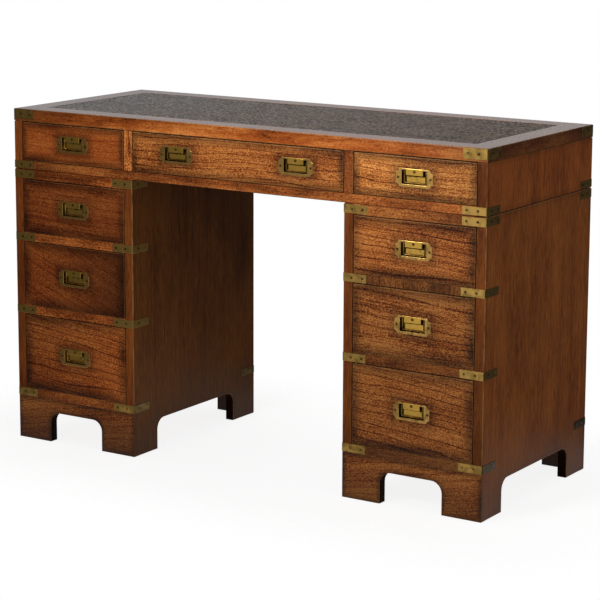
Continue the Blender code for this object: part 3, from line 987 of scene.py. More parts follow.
@dataclass
class WritingTop:
    """The top: four mitred border boards about a core, and the leather let into them.

    Attributes:
        board, leather: the CAD nodes that the pieces stand for.
        arris: radius of the border's outer edges.
        inner_arrises: radii of its lower and its upper inner edge.
        leather_drop: how far the leather lies under the border.
        top_tone: lightness of the border's upper face, which wax and ink have darkened, against its edge.
        end_tone, side_tone: lightness of the border's short and long edges.
        corner_tone, fade: lightness of those edges at the corners, and how far it reaches.
        darkness: how far soil darkens the edges under their upper arris.
        rubbed: how pale the outer arrises are, partly where sleeves have rubbed them and partly as a
            painted highlight.
        cut, core_cut: how the border and the core were cut.
        leather_cut: how the hide was cut; its wax is duller to the right.
    """

    board: str = "top_board"
    leather: str = "leather_inlay"
    arris: float = 2.0 * MM
    inner_arrises: Pair = (0.3 * MM, 0.6 * MM)
    leather_drop: float = 0.4 * MM
    top_tone: float = 0.35
    end_tone: float = 0.62
    side_tone: float = 1.1
    corner_tone: float = 0.55
    fade: float = 0.15
    darkness: float = 0.5
    rubbed: float = 0.8
    cut: BoardCut = BoardCut(red=0.06)
    core_cut: BoardCut = BoardCut(arris=0.3 * MM, rear=0.3 * MM)
    leather_cut: BoardCut = BoardCut(tone=0.98, arris=0.6 * MM, rear=0.2 * MM, slope=-0.07)

    def border(self, length: float, width: float, height: float, tone: float, seed: int) -> Surface:
        """Makes one border board along its own edge.

        The section is carried along the edge and cut at 45 degrees: a point at a distance s from the
        outer edge starts s after the edge's start and ends s before its end. Two more stations in between
        bound the darker corners.

        Args:
            length, width, height: the board's sizes.
            tone: lightness of its outer edge.
            seed: the board's number.

        Returns:
            The board's surface, along X, inwards along Y.
        """
        radii = [self.arris, *self.inner_arrises, self.arris]
        section = Outline.of([(0, 0), (width, 0), (width, height), (0, height)], radii).rings([0.0])[0]
        ends = np.array([-1.0, -1.0, 1.0, 1.0])[:, None]
        mitred = np.array([True, False, False, True])[:, None]
        along = ends * (length / 2 - np.where(mitred, section[None, :, 0], self.fade))
        inward, upward = (np.broadcast_to(section[:, i], along.shape).ravel() for i in (0, 1))
        count = len(section)
        faces = grid_faces(len(ends), count).tolist()
        faces += cap_faces([section], [np.arange(count)], False)
        faces += cap_faces([section], [np.arange(count) + 3 * count], True)
        rounded = (inward < 0.8 * self.arris) & (np.abs(upward - height / 2) > height / 2 - self.arris)
        upper = (upward > height - THIN) & (inward > 0.9 * self.arris)
        rim = np.where(upper, 1.0, 1 - self.darkness * upward / height)
        points = np.stack([along.ravel(), inward, upward], -1)
        surface = Surface(points, faces, {"wear": rounded * self.rubbed, "rim": rim})
        self.cut.values(surface, seed)
        corners = np.broadcast_to(np.where(mitred, self.corner_tone, 1.0), along.shape).ravel()
        surface.values["tone"] *= np.where(upper, self.top_tone, tone * corners)[:, None]
        return surface

    def build(self, shop: Workshop) -> None:
        """Makes the border, the core and the leather.

        Args:
            shop: the workshop that makes the pieces.
        """
        low, high = node_box(self.board)
        leather_low, leather_high = node_box(self.leather)
        width = leather_low[0] - low[0]
        size, middle = high - low, (low + high) / 2
        for edge in Edge:
            axes = edge.axes
            shop.boards += 1
            tone = self.end_tone if edge in (Edge.LEFT, Edge.RIGHT) else self.side_tone
            surface = self.border(abs(axes[0] @ size), width, size[2], tone, shop.boards)
            start = middle - axes[1] * abs(axes[1] @ size) / 2
            start[2] = low[2]
            nodes = (self.board,) if edge is Edge.FRONT else ()
            name = f"top_border_{edge.name.lower()}"
            shop.fit(name, surface.placed(axes, start), Finish.POLISH, CARCASE, *nodes)
        core_low, core_high = low + (width, width, 0), high - (width, width, 0)
        core_high[2] = leather_low[2] - self.leather_drop
        core = shop.board(core_low, core_high, Facing.TOP, self.core_cut)
        shop.fit("top_core", core, Finish.PANEL, CARCASE)
        leather_high[2] -= self.leather_drop
        hide = shop.board(leather_low, leather_high, Facing.TOP, self.leather_cut)
        shop.fit("leather_surface", hide, Finish.LEATHER, CARCASE, self.leather)


@dataclass
class TopSection:
    """The case of three drawers that stands on the pedestals.

    Attributes:
        shadow_gap: height of the gap between the case's ends and the pedestals.
        joint, joint_shade: height and lightness of the painted shade along that gap.
        end_cut, rail_cut, divider_cut, back_cut: how its boards were cut.
        end_edges: lightness of the left and the right end's front edge against its face.
        divider_tones, divider_reds: lightness and redness of the left and the right divider.
    """

    shadow_gap: float = 0.3 * MM
    joint: float = 1.3 * MM
    joint_shade: float = 0.12
    end_cut: BoardCut = BoardCut(Grain.ALONG_HEIGHT, 1.0, 1.75, edge=0.9, arris=1.8 * MM, wear_and_highlight=0.4)
    rail_cut: BoardCut = BoardCut(Grain.ALONG_WIDTH, 0.5, 1.56, 0.12, arris=0.5 * MM, rear=1.5 * MM,
                                  wear_and_highlight=0.0, lines=0.0, climb=-0.25, log=1)
    divider_cut: BoardCut = BoardCut(Grain.ALONG_HEIGHT, 0.0, 1.0, 0.08)
    back_cut: BoardCut = BoardCut(Grain.ALONG_WIDTH, 0.0, 0.95)
    end_edges: Pair = (0.95, 0.42)
    divider_tones: Pair = (2.9, 0.9)
    divider_reds: Pair = (0.03, 0.25)

    def shaded_at_joint(self, board: Surface) -> Surface:
        """Darkens a board's lowest edge, where it meets the pedestals, with painted shade.

        Args:
            board: the board's surface, in place.

        Returns:
            The same surface.
        """
        low = board.points[:, 2] < board.points[:, 2].min() + self.joint
        # Painted shade along the joint
        board.values["tone"][low] *= self.joint_shade
        board.values["wear"][low] = 0.0
        return board

    def build(self, shop: Workshop) -> None:
        """Makes the ends, the rail board, the dividers and the back.

        Args:
            shop: the workshop that makes the pieces.
        """
        ways = {"left": Facing.LEFT, "right": Facing.RIGHT}
        looks = zip(self.end_edges, self.divider_tones, self.divider_reds)
        for (name, facing), (edge, tone, red) in zip(ways.items(), looks):
            low, high = node_box(f"top_end_{name}")
            low[2] += self.shadow_gap
            end = shop.board(low, high, facing, replace(self.end_cut, edge=edge))
            shop.fit(f"case_end_{name}", self.shaded_at_joint(end), Finish.PANEL, CARCASE, f"top_end_{name}")
            cut = replace(self.divider_cut, tone=tone, red=red)
            shop.fill(f"case_divider_{name}", f"top_divider_{name}", Facing.RIGHT, cut, Finish.FRONT)
        rail = shop.board(*node_box("top_floor"), Facing.TOP, self.rail_cut)
        shop.fit("case_rail_board", self.shaded_at_joint(rail), Finish.FRONT, CARCASE, "top_floor")
        shop.fill("case_back", "top_back", Facing.BACK, self.back_cut, Finish.PANEL)


@dataclass
class Pedestal:
    """One pedestal's fixed boards, on a plinth of four arched boards.

    Attributes:
        side: left or right.
        plinth_height, plinth_board: height and thickness of the plinth's boards.
        front_foot, side_foot: widths of the bracket feet.
        arch_height, arch_radius: the arch's height and the radius of its corners.
        soft, crisp, head: radii of a plinth board's other corners, of a side's feet and of its head.
        chords: chords in each corner's arc.
        tuck: how far the sides' feet lie back from the plinth's front and back boards.
        arch_shade: lightness of the arches' unfinished edges against the sides, a painted shade where they
            face the floor under the desk.
        sill_tone: lightness of the pedestal's floor against its rails.
        outer_cut, inner_cut, rail_cut, cross_cut, back_cut, foot_cut: how its boards were cut.
    """

    side: Side
    plinth_height: float = 0.100
    plinth_board: float = 0.022
    front_foot: float = 0.093
    side_foot: float = 0.088
    arch_height: float = 0.070
    arch_radius: float = 0.025
    soft: float = 0.8 * MM
    crisp: float = 0.1 * MM
    head: float = 2.0 * MM
    chords: int = 6
    tuck: float = 0.4 * MM
    arch_shade: float = 0.12
    sill_tone: float = 0.68
    outer_cut: BoardCut = BoardCut(Grain.ALONG_HEIGHT, 0.6, 1.55, -0.08, edge=0.56, edge_red=-0.02,
                                   arris=2.0 * MM, wear_and_highlight=1.3)
    inner_cut: BoardCut = BoardCut(Grain.ALONG_HEIGHT, -0.5, 0.85, edge=1.1, arris=2.0 * MM, wear_and_highlight=1.3)
    rail_cut: BoardCut = BoardCut(Grain.ALONG_WIDTH, 0.8, 1.16, 0.04, arris=0.5 * MM, wear_and_highlight=0.0, lines=0.0,
                                  climb=-0.25, log=1)
    cross_cut: BoardCut = BoardCut(Grain.ALONG_DEPTH, 0.0, 0.9, arris=0.5 * MM, wear_and_highlight=0.0)
    back_cut: BoardCut = BoardCut(Grain.ALONG_HEIGHT, 0.0, 0.95)
    # The plinth boards' edges and rear faces are dark as painted shade under the arches and inside the
    # plinth
    foot_cut: BoardCut = BoardCut(Grain.ALONG_WIDTH, 10.0, 1.05, edge=0.12, inside=0.2, arris=0.7 * MM,
                                  lines=0.6, bare=1.0)

    def build(self, shop: Workshop) -> None:
        """Makes the side panels, the rails, the back and the plinth.

        Args:
            shop: the workshop that makes the pieces.
        """
        name = self.side.value
        ways = (Facing.LEFT, Facing.RIGHT) if self.side is Side.LEFT else (Facing.RIGHT, Facing.LEFT)
        nodes = (f"{name}_outer_side", f"{name}_inner_side")
        for node, facing, cut in zip(nodes, ways, (self.outer_cut, self.inner_cut)):
            low, high = node_box(node)
            low[2] = 0.0
            panel = shop.board(low, high, facing, cut, self.side_outline(high[1] - low[1], high[2]))
            # The arches' edges face the floor under the desk: their darkness is painted shade, and they are
            # left matt
            bare = (panel.points[:, 2] < self.plinth_height - 1 * MM) & (panel.values["rim"] < -0.5)
            panel.values["tone"] *= np.where(bare, self.arch_shade, 1.0)[:, None]
            panel.values["bare"] = bare.astype(float)
            shop.fit(f"{node}_panel", panel, Finish.PANEL, CARCASE, node)
        for node in (f"{name}_top", f"{name}_upper_dustboard", f"{name}_lower_dustboard"):
            cut = self.cross_cut if node == "right_upper_dustboard" else self.rail_cut
            shop.fill(f"{node}_rail", node, Facing.TOP, cut, Finish.FRONT)
        shop.fill(f"{name}_back_panel", f"{name}_back", Facing.BACK, self.back_cut, Finish.PANEL)
        self.build_plinth(shop, f"{name}_plinth")

    def arch(self, width: float, foot: float) -> Outline:
        """Draws an arched board about the middle of its box.

        Args:
            width: the board's width.
            foot: the width of each foot.

        Returns:
            The board's outline.
        """
        half, gap, top, arch = width / 2, width / 2 - foot, self.plinth_height, self.arch_height
        corners = [(-half, 0), (-gap, 0), (-gap, arch), (gap, arch), (gap, 0), (half, 0), (half, top),
                   (-half, top)]
        radii = [self.soft] * 2 + [self.arch_radius] * 2 + [self.soft] * 4
        return Outline.of(corners, radii, self.chords).moved((0, -top / 2))

    def side_outline(self, depth: float, height: float) -> Outline:
        """Draws a side about the middle of its box: an arch at its foot, and feet tucked in a little.

        Args:
            depth, height: the side's sizes.

        Returns:
            The side's outline.
        """
        half, gap, shoulder = depth / 2, depth / 2 - self.side_foot, self.plinth_height
        foot = half - self.tuck
        right = [(gap, self.arch_height), (gap, 0), (foot, 0), (foot, shoulder), (half, shoulder),
                 (half, height)]
        left = [(-x, z) for x, z in right[::-1]]
        radii = [self.arch_radius] + [self.crisp] * 4 + [self.head]
        return Outline.of(right + left, radii + radii[::-1], self.chords).moved((0, -height / 2))

    def build_plinth(self, shop: Workshop, node: str) -> None:
        """Makes the plinth's front and back boards and the pedestal's floor.

        Args:
            shop: the workshop that makes the pieces.
            node: the CAD node that they stand for.
        """
        low, high = node_box(node)
        board, top, tuck = self.plinth_board, self.plinth_height, self.tuck
        outline = self.arch(high[0] - low[0] - 2 * tuck, self.front_foot)
        ways = (("front", Facing.FRONT, low[1]), ("back", Facing.BACK, high[1] - board))
        for label, facing, near in ways:
            box = (low[0] + tuck, near, low[2]), (high[0] - tuck, near + board, low[2] + top)
            nodes = (node,) if label == "front" else ()
            shape = shop.board(*box, facing, self.foot_cut, outline)
            shop.fit(f"{node}_{label}", shape, Finish.FRONT, CARCASE, *nodes)
        floor = (low[0] + board, low[1], low[2] + top), (high[0] - board, high[1], high[2])
        sill = replace(self.rail_cut, tone=self.rail_cut.tone * self.sill_tone)
        shop.fit(f"{node}_floor_rail", shop.board(*floor, Facing.TOP, sill), Finish.FRONT, CARCASE)


@dataclass
class Drawer:
    """One drawer: a figured front, a lining of cedar with dovetails, and its flush handles.

    Attributes:
        name: the drawer's name in the record.
        handles: the names of its handles.
        tone, red: lightness of its front, and how much redder it is than others.
        tilt: degrees that its grain leans.
        lines, figure: how strongly its growth rings and its whole figure show.
        slope: how much lighter its right end is than its middle.
        polish, darkness: how bright its handles are rubbed, and how dark the painted shade in their cups
            is.
        top_gap, foot_gap, side_gap: how far the front's edges lie from the CAD's.
        pocket: depth of the handle's pocket in the front.
        lip: radius of the edges where the front's two layers meet and round the pocket.
        widest_rim: the most that the front's darkened band takes of its height.
        wall, floor, floor_raise: thickness of the box's boards and the height of its floor.
        tail, tail_depth: spacing of the dovetails and how far they reach into the front.
        tail_corner: radius of their corners.
        tail_shares: heights of a tail's root, tip, tip and root, as shares of the spacing.
        front_cut, lining_cut, tail_cut: how its boards were cut.
    """

    name: str
    handles: tuple[str, ...]
    tone: float = 1.0
    red: float = 0.0
    tilt: float = 0.0
    lines: float = 1.0
    figure: float = 1.0
    slope: float = 0.0
    polish: float = 0.0
    darkness: float = 1.0
    top_gap: float = 0.4 * MM
    foot_gap: float = 1.0 * MM
    side_gap: float = 0.6 * MM
    pocket: float = 13.8 * MM
    lip: float = 0.2 * MM
    widest_rim: float = 0.24
    wall: float = 0.010
    floor: float = 0.006
    floor_raise: float = 0.008
    tail: float = 0.028
    tail_depth: float = 0.012
    tail_corner: float = 0.6 * MM
    tail_shares: tuple[float, ...] = (0.22, 0.12, 0.88, 0.78)
    # The front's edges, at 0.4 of its face, are painted shade in the gaps round the drawer
    front_cut: BoardCut = BoardCut(edge=0.4, arris=1.4 * MM, rim=30 * MM, wear_and_highlight=1.1)
    lining_cut: BoardCut = BoardCut(arris=0.8 * MM, rear=0.8 * MM)
    tail_cut: BoardCut = BoardCut(arris=0.5 * MM, rear=0.5 * MM, rim=0.4 * MM)

    @property
    def body(self) -> str:
        """The body that the drawer rides on."""
        return f"drawer_{self.name}"

    def build(self, shop: Workshop) -> None:
        """Makes the front, the box and the handles.

        Args:
            shop: the workshop that makes the pieces.
        """
        self.build_front(shop)
        self.build_box(shop)
        for handle in self.handles:
            FlushHandle(handle, self.body, self.polish, self.darkness).build(shop)

    def build_front(self, shop: Workshop) -> None:
        """Makes the front: a pierced face that takes the handles, and a whole board behind it.

        Args:
            shop: the workshop that makes the pieces.
        """
        node = f"drawer_front_{self.name}"
        low, high = node_box(node)
        low += (self.side_gap, 0, 0 if self.name.startswith("top") else -self.foot_gap)
        high -= (self.side_gap, 0, self.top_gap)
        axes, middle = Facing.FRONT.axes, (low + high) / 2
        width, height, thickness = np.abs(axes @ (high - low))
        cut = replace(self.front_cut, tilt=self.tilt, tone=self.tone, red=self.red, lines=self.lines,
                      figure=self.figure, slope=self.slope)
        shop.boards += 1
        plates = [sum(node_box(f"handle_plate_{handle}")) / 2 for handle in self.handles]
        centers = [(plate - middle)[[0, 2]] for plate in plates]
        seats = [plate_outline(-SEAT_INSET).reversed().moved(center) for center in centers]
        outline = rectangle(width, height, cut.arris)
        rim = board_profile(self.pocket, cut.arris, self.lip, min(cut.rim, self.widest_rim * height))
        hole = board_profile(self.pocket, 1.5 * self.lip, self.lip, self.lip)
        rear = board_profile(thickness - self.pocket, self.lip, cut.rear, 4 * MM)
        rest = carried([outline], [rear])
        rest.points[:, 2] -= self.pocket
        face = carried([outline, *seats], [rim] + [hole] * len(seats))
        front = cut.values(face.joined(rest), shop.boards)
        spread = np.full(len(front.points), abs(centers[0][0]) if len(centers) == 2 else 0.0)
        front.values["spot"] = np.stack([front.points[:, 0], front.points[:, 1] - centers[0][1], spread], 1)
        front = front.placed(axes, middle + axes[2] * thickness / 2)
        shop.fit(f"drawer_face_{self.name}", front, Finish.FRONT, self.body, node)

    def build_box(self, shop: Workshop) -> None:
        """Makes the two dovetailed sides, the back and the floor.

        Args:
            shop: the workshop that makes the pieces.
        """
        node, wall = f"drawer_box_{self.name}", self.wall
        low, high = node_box(node)
        for label, facing, x in (("left", Facing.LEFT, low[0]), ("right", Facing.RIGHT, high[0] - wall)):
            box = (x, low[1], low[2]), (x + wall, high[1], high[2])
            shape = shop.board(*box, facing, self.tail_cut, self.tailed(high - low, facing))
            nodes = (node,) if label == "left" else ()
            shop.fit(f"drawer_{label}_side_{self.name}", shape, Finish.LINING, self.body, *nodes)
        raised = low[2] + self.floor_raise
        back = (low[0] + wall, high[1] - wall, low[2]), (high[0] - wall, high[1], high[2])
        floor = (low[0] + wall, low[1], raised), (high[0] - wall, high[1] - wall, raised + self.floor)
        for label, facing, box in (("back", Facing.BACK, back), ("floor", Facing.TOP, floor)):
            shape = shop.board(*box, facing, self.lining_cut)
            shop.fit(f"drawer_{label}_{self.name}", shape, Finish.LINING, self.body)

    def tailed(self, size: Array, facing: Facing) -> Outline:
        """Draws a side with dovetails at its front end.

        The tails are a zigzag of four corners for each one, so that all are worked out as one array.

        Args:
            size: the box's sizes.
            facing: the side that the board looks to.

        Returns:
            The side's outline.
        """
        half, rise = size[1] / 2, size[2]
        count = max(2, int(rise // self.tail))
        pitch = rise / count
        up = (np.arange(count) * pitch - rise / 2)[:, None] + pitch * np.array(self.tail_shares)
        out = np.broadcast_to(np.array([0, self.tail_depth, self.tail_depth, 0]), up.shape)
        tails = np.stack([-half - out, up], -1).reshape(-1, 2)[::-1]
        corners = [(-half, -rise / 2), (half, -rise / 2), (half, rise / 2), (-half, rise / 2)]
        outline = np.concatenate([corners, tails])
        if facing is Facing.LEFT:
            outline = (outline * (-1, 1))[::-1]
        return Outline.of(outline, self.tail_corner, 2)


def plate_outline(grow: float) -> Outline:
    """Draws a handle's plate: a rectangle whose corners are cut off a little hollow.

    Each corner lies halfway between a hollow quarter circle and its chord.

    Args:
        grow: how far the outline lies outside the plate's own.

    Returns:
        The outline.
    """
    angle = np.linspace(0, np.pi / 2, 7)
    cove = PLATE_HALF + grow - PLATE_COVE * np.stack([np.sin(angle), np.cos(angle)], 1)
    hollow = (cove + np.linspace(cove[0], cove[-1], len(angle))) / 2
    signs = ((1, 1), (-1, 1), (-1, -1), (1, -1))
    arcs = [(hollow if sx == sy else hollow[::-1]) * (sx, sy) for sx, sy in signs]
    return Outline.of(np.concatenate(arcs), steps=0)


@dataclass
class FlushHandle:
    """A flush handle: a coved brass plate with a tab, a cup behind it, a bail in the cup and three screws.

    Attributes:
        name: the handle's name in the record.
        body: the drawer's body.
        polish, darkness: how bright the plate is rubbed, and how dark the cup's walls and the bail are, as
            painted shade.
        proud, tab_proud: how far the plate stands out of the wood, and the tab out of the plate.
        thickness: thickness of the plate.
        soft, rear: radii of the plate's front and rear edges; its flat ring is as wide as the first.
        cup_depth, cup_wall: the cup's depth from the wood's face, and its wall.
        cup_bend, cup_corner: radii of the bend at its floor and of its corners.
        bright_floor: distances from the bend of the two rows between which the floor turns bright.
        bright_drop: how far those rows lie under the tab's tip; the dull strip above them is a painted
            shadow of the tab.
        floor_wear, tab_wear: how far fingers have rubbed the floor and the tab.
        end_border, top_border, foot_border: widths of the plate round its opening.
        corner: radius of the opening's and the tab's corners.
        tab_width, tab_drop: the tab that hangs into the opening.
        tab_inset, tab_arris: how far its top lies under the plate's, and the radius of its edges.
        leg, bar, bail_thickness, bail_width: sizes of the bail.
        bail_round: the share of its bar's height that the round of its edges takes.
        eye, pin_drop: heights of the bail's eyes and of the CAD bail's top over the pins.
        bail_drop, bail_crank: how far its bar hangs under the CAD's, and its bow lies in front of its pins.
        eye_radius, inner_radius, outer_radius: radii of the bail's eyes and of its bends.
        pin: radius of the pins.
        screw: radius of a screw's head.
        screw_inset, tab_screw: distances of the screws from the plate's ends and from its top.
        slots: angles of the screws' slots.
    """

    name: str
    body: str
    polish: float = 0.0
    darkness: float = 1.0
    proud: float = 0.4 * MM
    tab_proud: float = 0.3 * MM
    thickness: float = 1.6 * MM
    soft: float = 0.3 * MM
    rear: float = 0.1 * MM
    cup_depth: float = 7.0 * MM
    cup_wall: float = 1.5 * MM
    cup_bend: float = 1.5 * MM
    cup_corner: float = 2.0 * MM
    bright_floor: Pair = (1.0 * MM, 1.8 * MM)
    bright_drop: Pair = (3.4 * MM, 4.4 * MM)
    floor_wear: float = 0.6
    end_border: float = 13.5 * MM
    top_border: float = 3.5 * MM
    foot_border: float = 5.5 * MM
    corner: float = 0.8 * MM
    tab_width: float = 40.0 * MM
    tab_drop: float = 9.5 * MM
    tab_inset: float = 0.6 * MM
    tab_arris: float = 0.4 * MM
    tab_wear: float = 0.7
    leg: float = 5.5 * MM
    bar: float = 3.6 * MM
    bail_thickness: float = 3.5 * MM
    bail_width: float = 56.6 * MM
    bail_round: float = 0.45
    bail_drop: float = 1.2 * MM
    bail_crank: float = 1.0 * MM
    eye: float = 1.2 * MM
    pin_drop: float = 2.0 * MM
    eye_radius: float = 1.8 * MM
    inner_radius: float = 1.5 * MM
    outer_radius: float = 5.0 * MM
    pin: float = 1.2 * MM
    screw: float = 3.0 * MM
    screw_inset: float = 5.3 * MM
    tab_screw: float = 6.0 * MM
    slots: tuple[float, ...] = (0.4, 1.9, 2.6)

    def opening(self) -> Outline:
        """Draws the opening: a rectangle with the tab hanging into its upper edge.

        Returns:
            The opening's outline.
        """
        half = PLATE_HALF
        x, top, foot = half[0] - self.end_border, half[1] - self.top_border, self.foot_border - half[1]
        tab, tip = self.tab_width / 2, top - self.tab_drop
        corners = [(-x, foot), (x, foot), (x, top), (tab, top), (tab, tip), (-tab, tip), (-tab, top),
                   (-x, top)]
        return Outline.of(corners, self.corner, 2)

    def build(self, shop: Workshop) -> None:
        """Makes the plate with its cup and screws, and the bail.

        Args:
            shop: the workshop that makes the pieces.
        """
        node = f"handle_plate_{self.name}"
        low, high = node_box(node)
        axes, half = Facing.FRONT.axes, PLATE_HALF
        face = np.array([(low[0] + high[0]) / 2, low[1], (low[2] + high[2]) / 2])
        edge = board_profile(self.thickness + self.proud, self.soft, self.rear, self.soft, 2)
        plate = carried([plate_outline(0.0), self.opening().reversed()], [edge, edge])
        plate.points[:, 2] += self.proud
        plate.values["wear"] += self.polish
        shop.fit(f"flush_plate_{self.name}", plate.placed(axes, face), Finish.HANDLED, self.body, node)
        drop = self.tab_drop + self.top_border
        outline = rectangle(self.tab_width, drop, self.corner)
        outline = outline.moved((0, half[1] - self.tab_inset - drop / 2))
        tab = carried([outline], [board_profile(self.thickness, self.tab_arris, self.rear, self.soft, 2)])
        tab.points[:, 2] += self.proud + self.tab_proud
        tab.values["wear"] = np.maximum(tab.values["wear"], self.tab_wear)
        cup = tab.joined(self.cup()).placed(axes, face)
        shop.fit(f"cup_and_tab_{self.name}", cup, Finish.RUBBED, self.body)
        places = [(self.screw_inset - half[0], 0.0), (half[0] - self.screw_inset, 0.0),
                  (0.0, half[1] - self.tab_screw)]
        heads = [screw_head(self.screw + rise, turn).placed(np.eye(3), (*place, self.proud + rise))
                 for place, turn, rise in zip(places, self.slots, (0.0, 0.0, self.tab_proud))]
        screws = heads[0].joined(*heads[1:]).placed(axes, face)
        shop.fit(f"plate_screws_{self.name}", screws, Finish.BROWNED, self.body, smooth=True)
        self.build_bail(shop, axes)

    def cup(self) -> Surface:
        """Makes the cup: a profile that goes up its outside, over its rim and down to its floor.

        The last two rows bound the part of the floor that fingers keep bright, under the tab's tip. The
        dark walls and the dull strip between the tab's tip and those rows are painted shade, the strip a
        painted shadow of the tab.

        Returns:
            The cup's surface, along the plate's own axes.
        """
        half, wall, depth, soft = PLATE_HALF, self.cup_wall, self.cup_depth, self.cup_bend
        width = 2 * (half[0] - self.end_border + wall)
        top, foot = half[1] - self.top_border + wall, self.foot_border - half[1] - wall
        outline = rectangle(width, top - foot, self.cup_corner).moved((0, (top + foot) / 2))
        turn = np.linspace(0, np.pi / 2, 4)
        bend = np.stack([soft * (1 - np.sin(turn)) - depth, wall + soft * (1 - np.cos(turn))], 1)
        floor = [(-depth, wall + soft + inset) for inset in self.bright_floor]
        outside = [(-depth - wall, 0), (-self.thickness, 0), (-self.thickness, wall)]
        rows = np.concatenate([outside, bend, floor])
        # The cup's walls and the floor under the tab's tip carry painted shade; only the last row is rubbed
        # bright
        wear = np.concatenate([np.full(len(rows) - 1, -self.darkness), [self.floor_wear]])
        cup = carried([outline], [np.stack([*rows.T, wear, 0 * wear], 1)])
        grid = cup.points.reshape(len(rows), -1, 3)
        tip = half[1] - self.top_border - self.tab_drop
        grid[-2:, :, 1] = np.minimum(grid[-2:, :, 1], tip - np.array(self.bright_drop)[:, None])
        return cup

    def build_bail(self, shop: Workshop, axes: Array) -> None:
        """Makes the bail: a U outline with round eyes and softened edges, on two pins.

        Args:
            shop: the workshop that makes the pieces.
            axes: directions of the plate's width, height and face.
        """
        node = f"handle_bail_{self.name}"
        low, high = node_box(node)
        pivot = np.array([(low[0] + high[0]) / 2, (low[1] + high[1]) / 2, high[2] - self.pin_drop])
        half, foot, eye = self.bail_width / 2, low[2] - pivot[2] - self.bail_drop, self.eye
        inner, bar = half - self.leg, foot + self.bar
        corners = [(half, eye), (inner, eye), (inner, bar), (-inner, bar), (-inner, eye), (-half, eye),
                   (-half, foot), (half, foot)]
        eyes = [self.eye_radius] * 2
        radii = eyes + [self.inner_radius] * 2 + eyes + [self.outer_radius] * 2
        turn = np.linspace(-np.pi / 2, np.pi / 2, 11)
        inset = (1 - np.cos(turn)) * self.bail_round * self.bar
        rows = np.stack([np.sin(turn) * self.bail_thickness / 2, inset, 0 * turn, 0 * turn], 1)
        bow = carried([Outline.of(corners, radii, 4)], [rows])
        bow.points[:, 2] += self.bail_crank
        reach = (high[0] - low[0]) / 2
        profile = board_profile(reach - half + 1 * MM, self.rear, self.rear, self.soft, 1)
        pin = carried([circle(self.pin, 12)], [profile])
        ways = {s: np.array([(0, 0, -s), (0, 1, 0), (s, 0, 0)], float) for s in (1, -1)}
        pins = [pin.placed(way, (s * reach, 0, 0)) for s, way in ways.items()]
        # The bail is darker where the cup is: painted shade
        finish = Finish.BROWNED if self.darkness > 0.5 else Finish.HANDLED
        bail = bow.joined(*pins).placed(axes, pivot)
        shop.fit(f"bail_{self.name}", bail, finish, f"bail_{self.name}", node, smooth=True)


def screw_head(radius: float, turn: float) -> Surface:
    """Makes a slotted raised screw head, on the plane at depth 0.

    Two half discs stand on a lower disc and leave the slot between them. Each half is the arc between
    the ends of the slot's side, closed by that side, and rises as a quarter of an ellipse.

    Args:
        radius: the head's radius.
        turn: the slot's angle.

    Returns:
        The head's surface.
    """
    slot, slope = 0.16, 0.34
    sunk, floor, rim, rise = -0.2 * MM, 0.08 * MM, 0.1 * MM, 0.55 * MM
    end = math.acos(slot)
    angle = np.linspace(-end, end, 8)
    side = Outline.of(radius * np.stack([np.cos(angle), np.sin(angle)], 1), steps=0)
    climb = np.linspace(0, np.pi / 2, 4)
    flat = 0 * climb
    dome = np.stack([rim + rise * np.sin(climb), slope * radius * (1 - np.cos(climb)), flat, flat], 1)
    right = carried([side], [np.concatenate([[(sunk, 0, 0, 0)], dome])])
    left = Surface(right.points * (-1, -1, 1), right.faces, right.values)
    base = carried([circle(0.98 * radius, 12)], [np.array([(sunk, 0, 0, 0), (floor, 0, 0, 0)])])
    c, s = math.cos(turn), math.sin(turn)
    return right.joined(left, base).placed(np.array([(c, s, 0), (-s, c, 0), (0, 0, 1)]), (0, 0, 0))


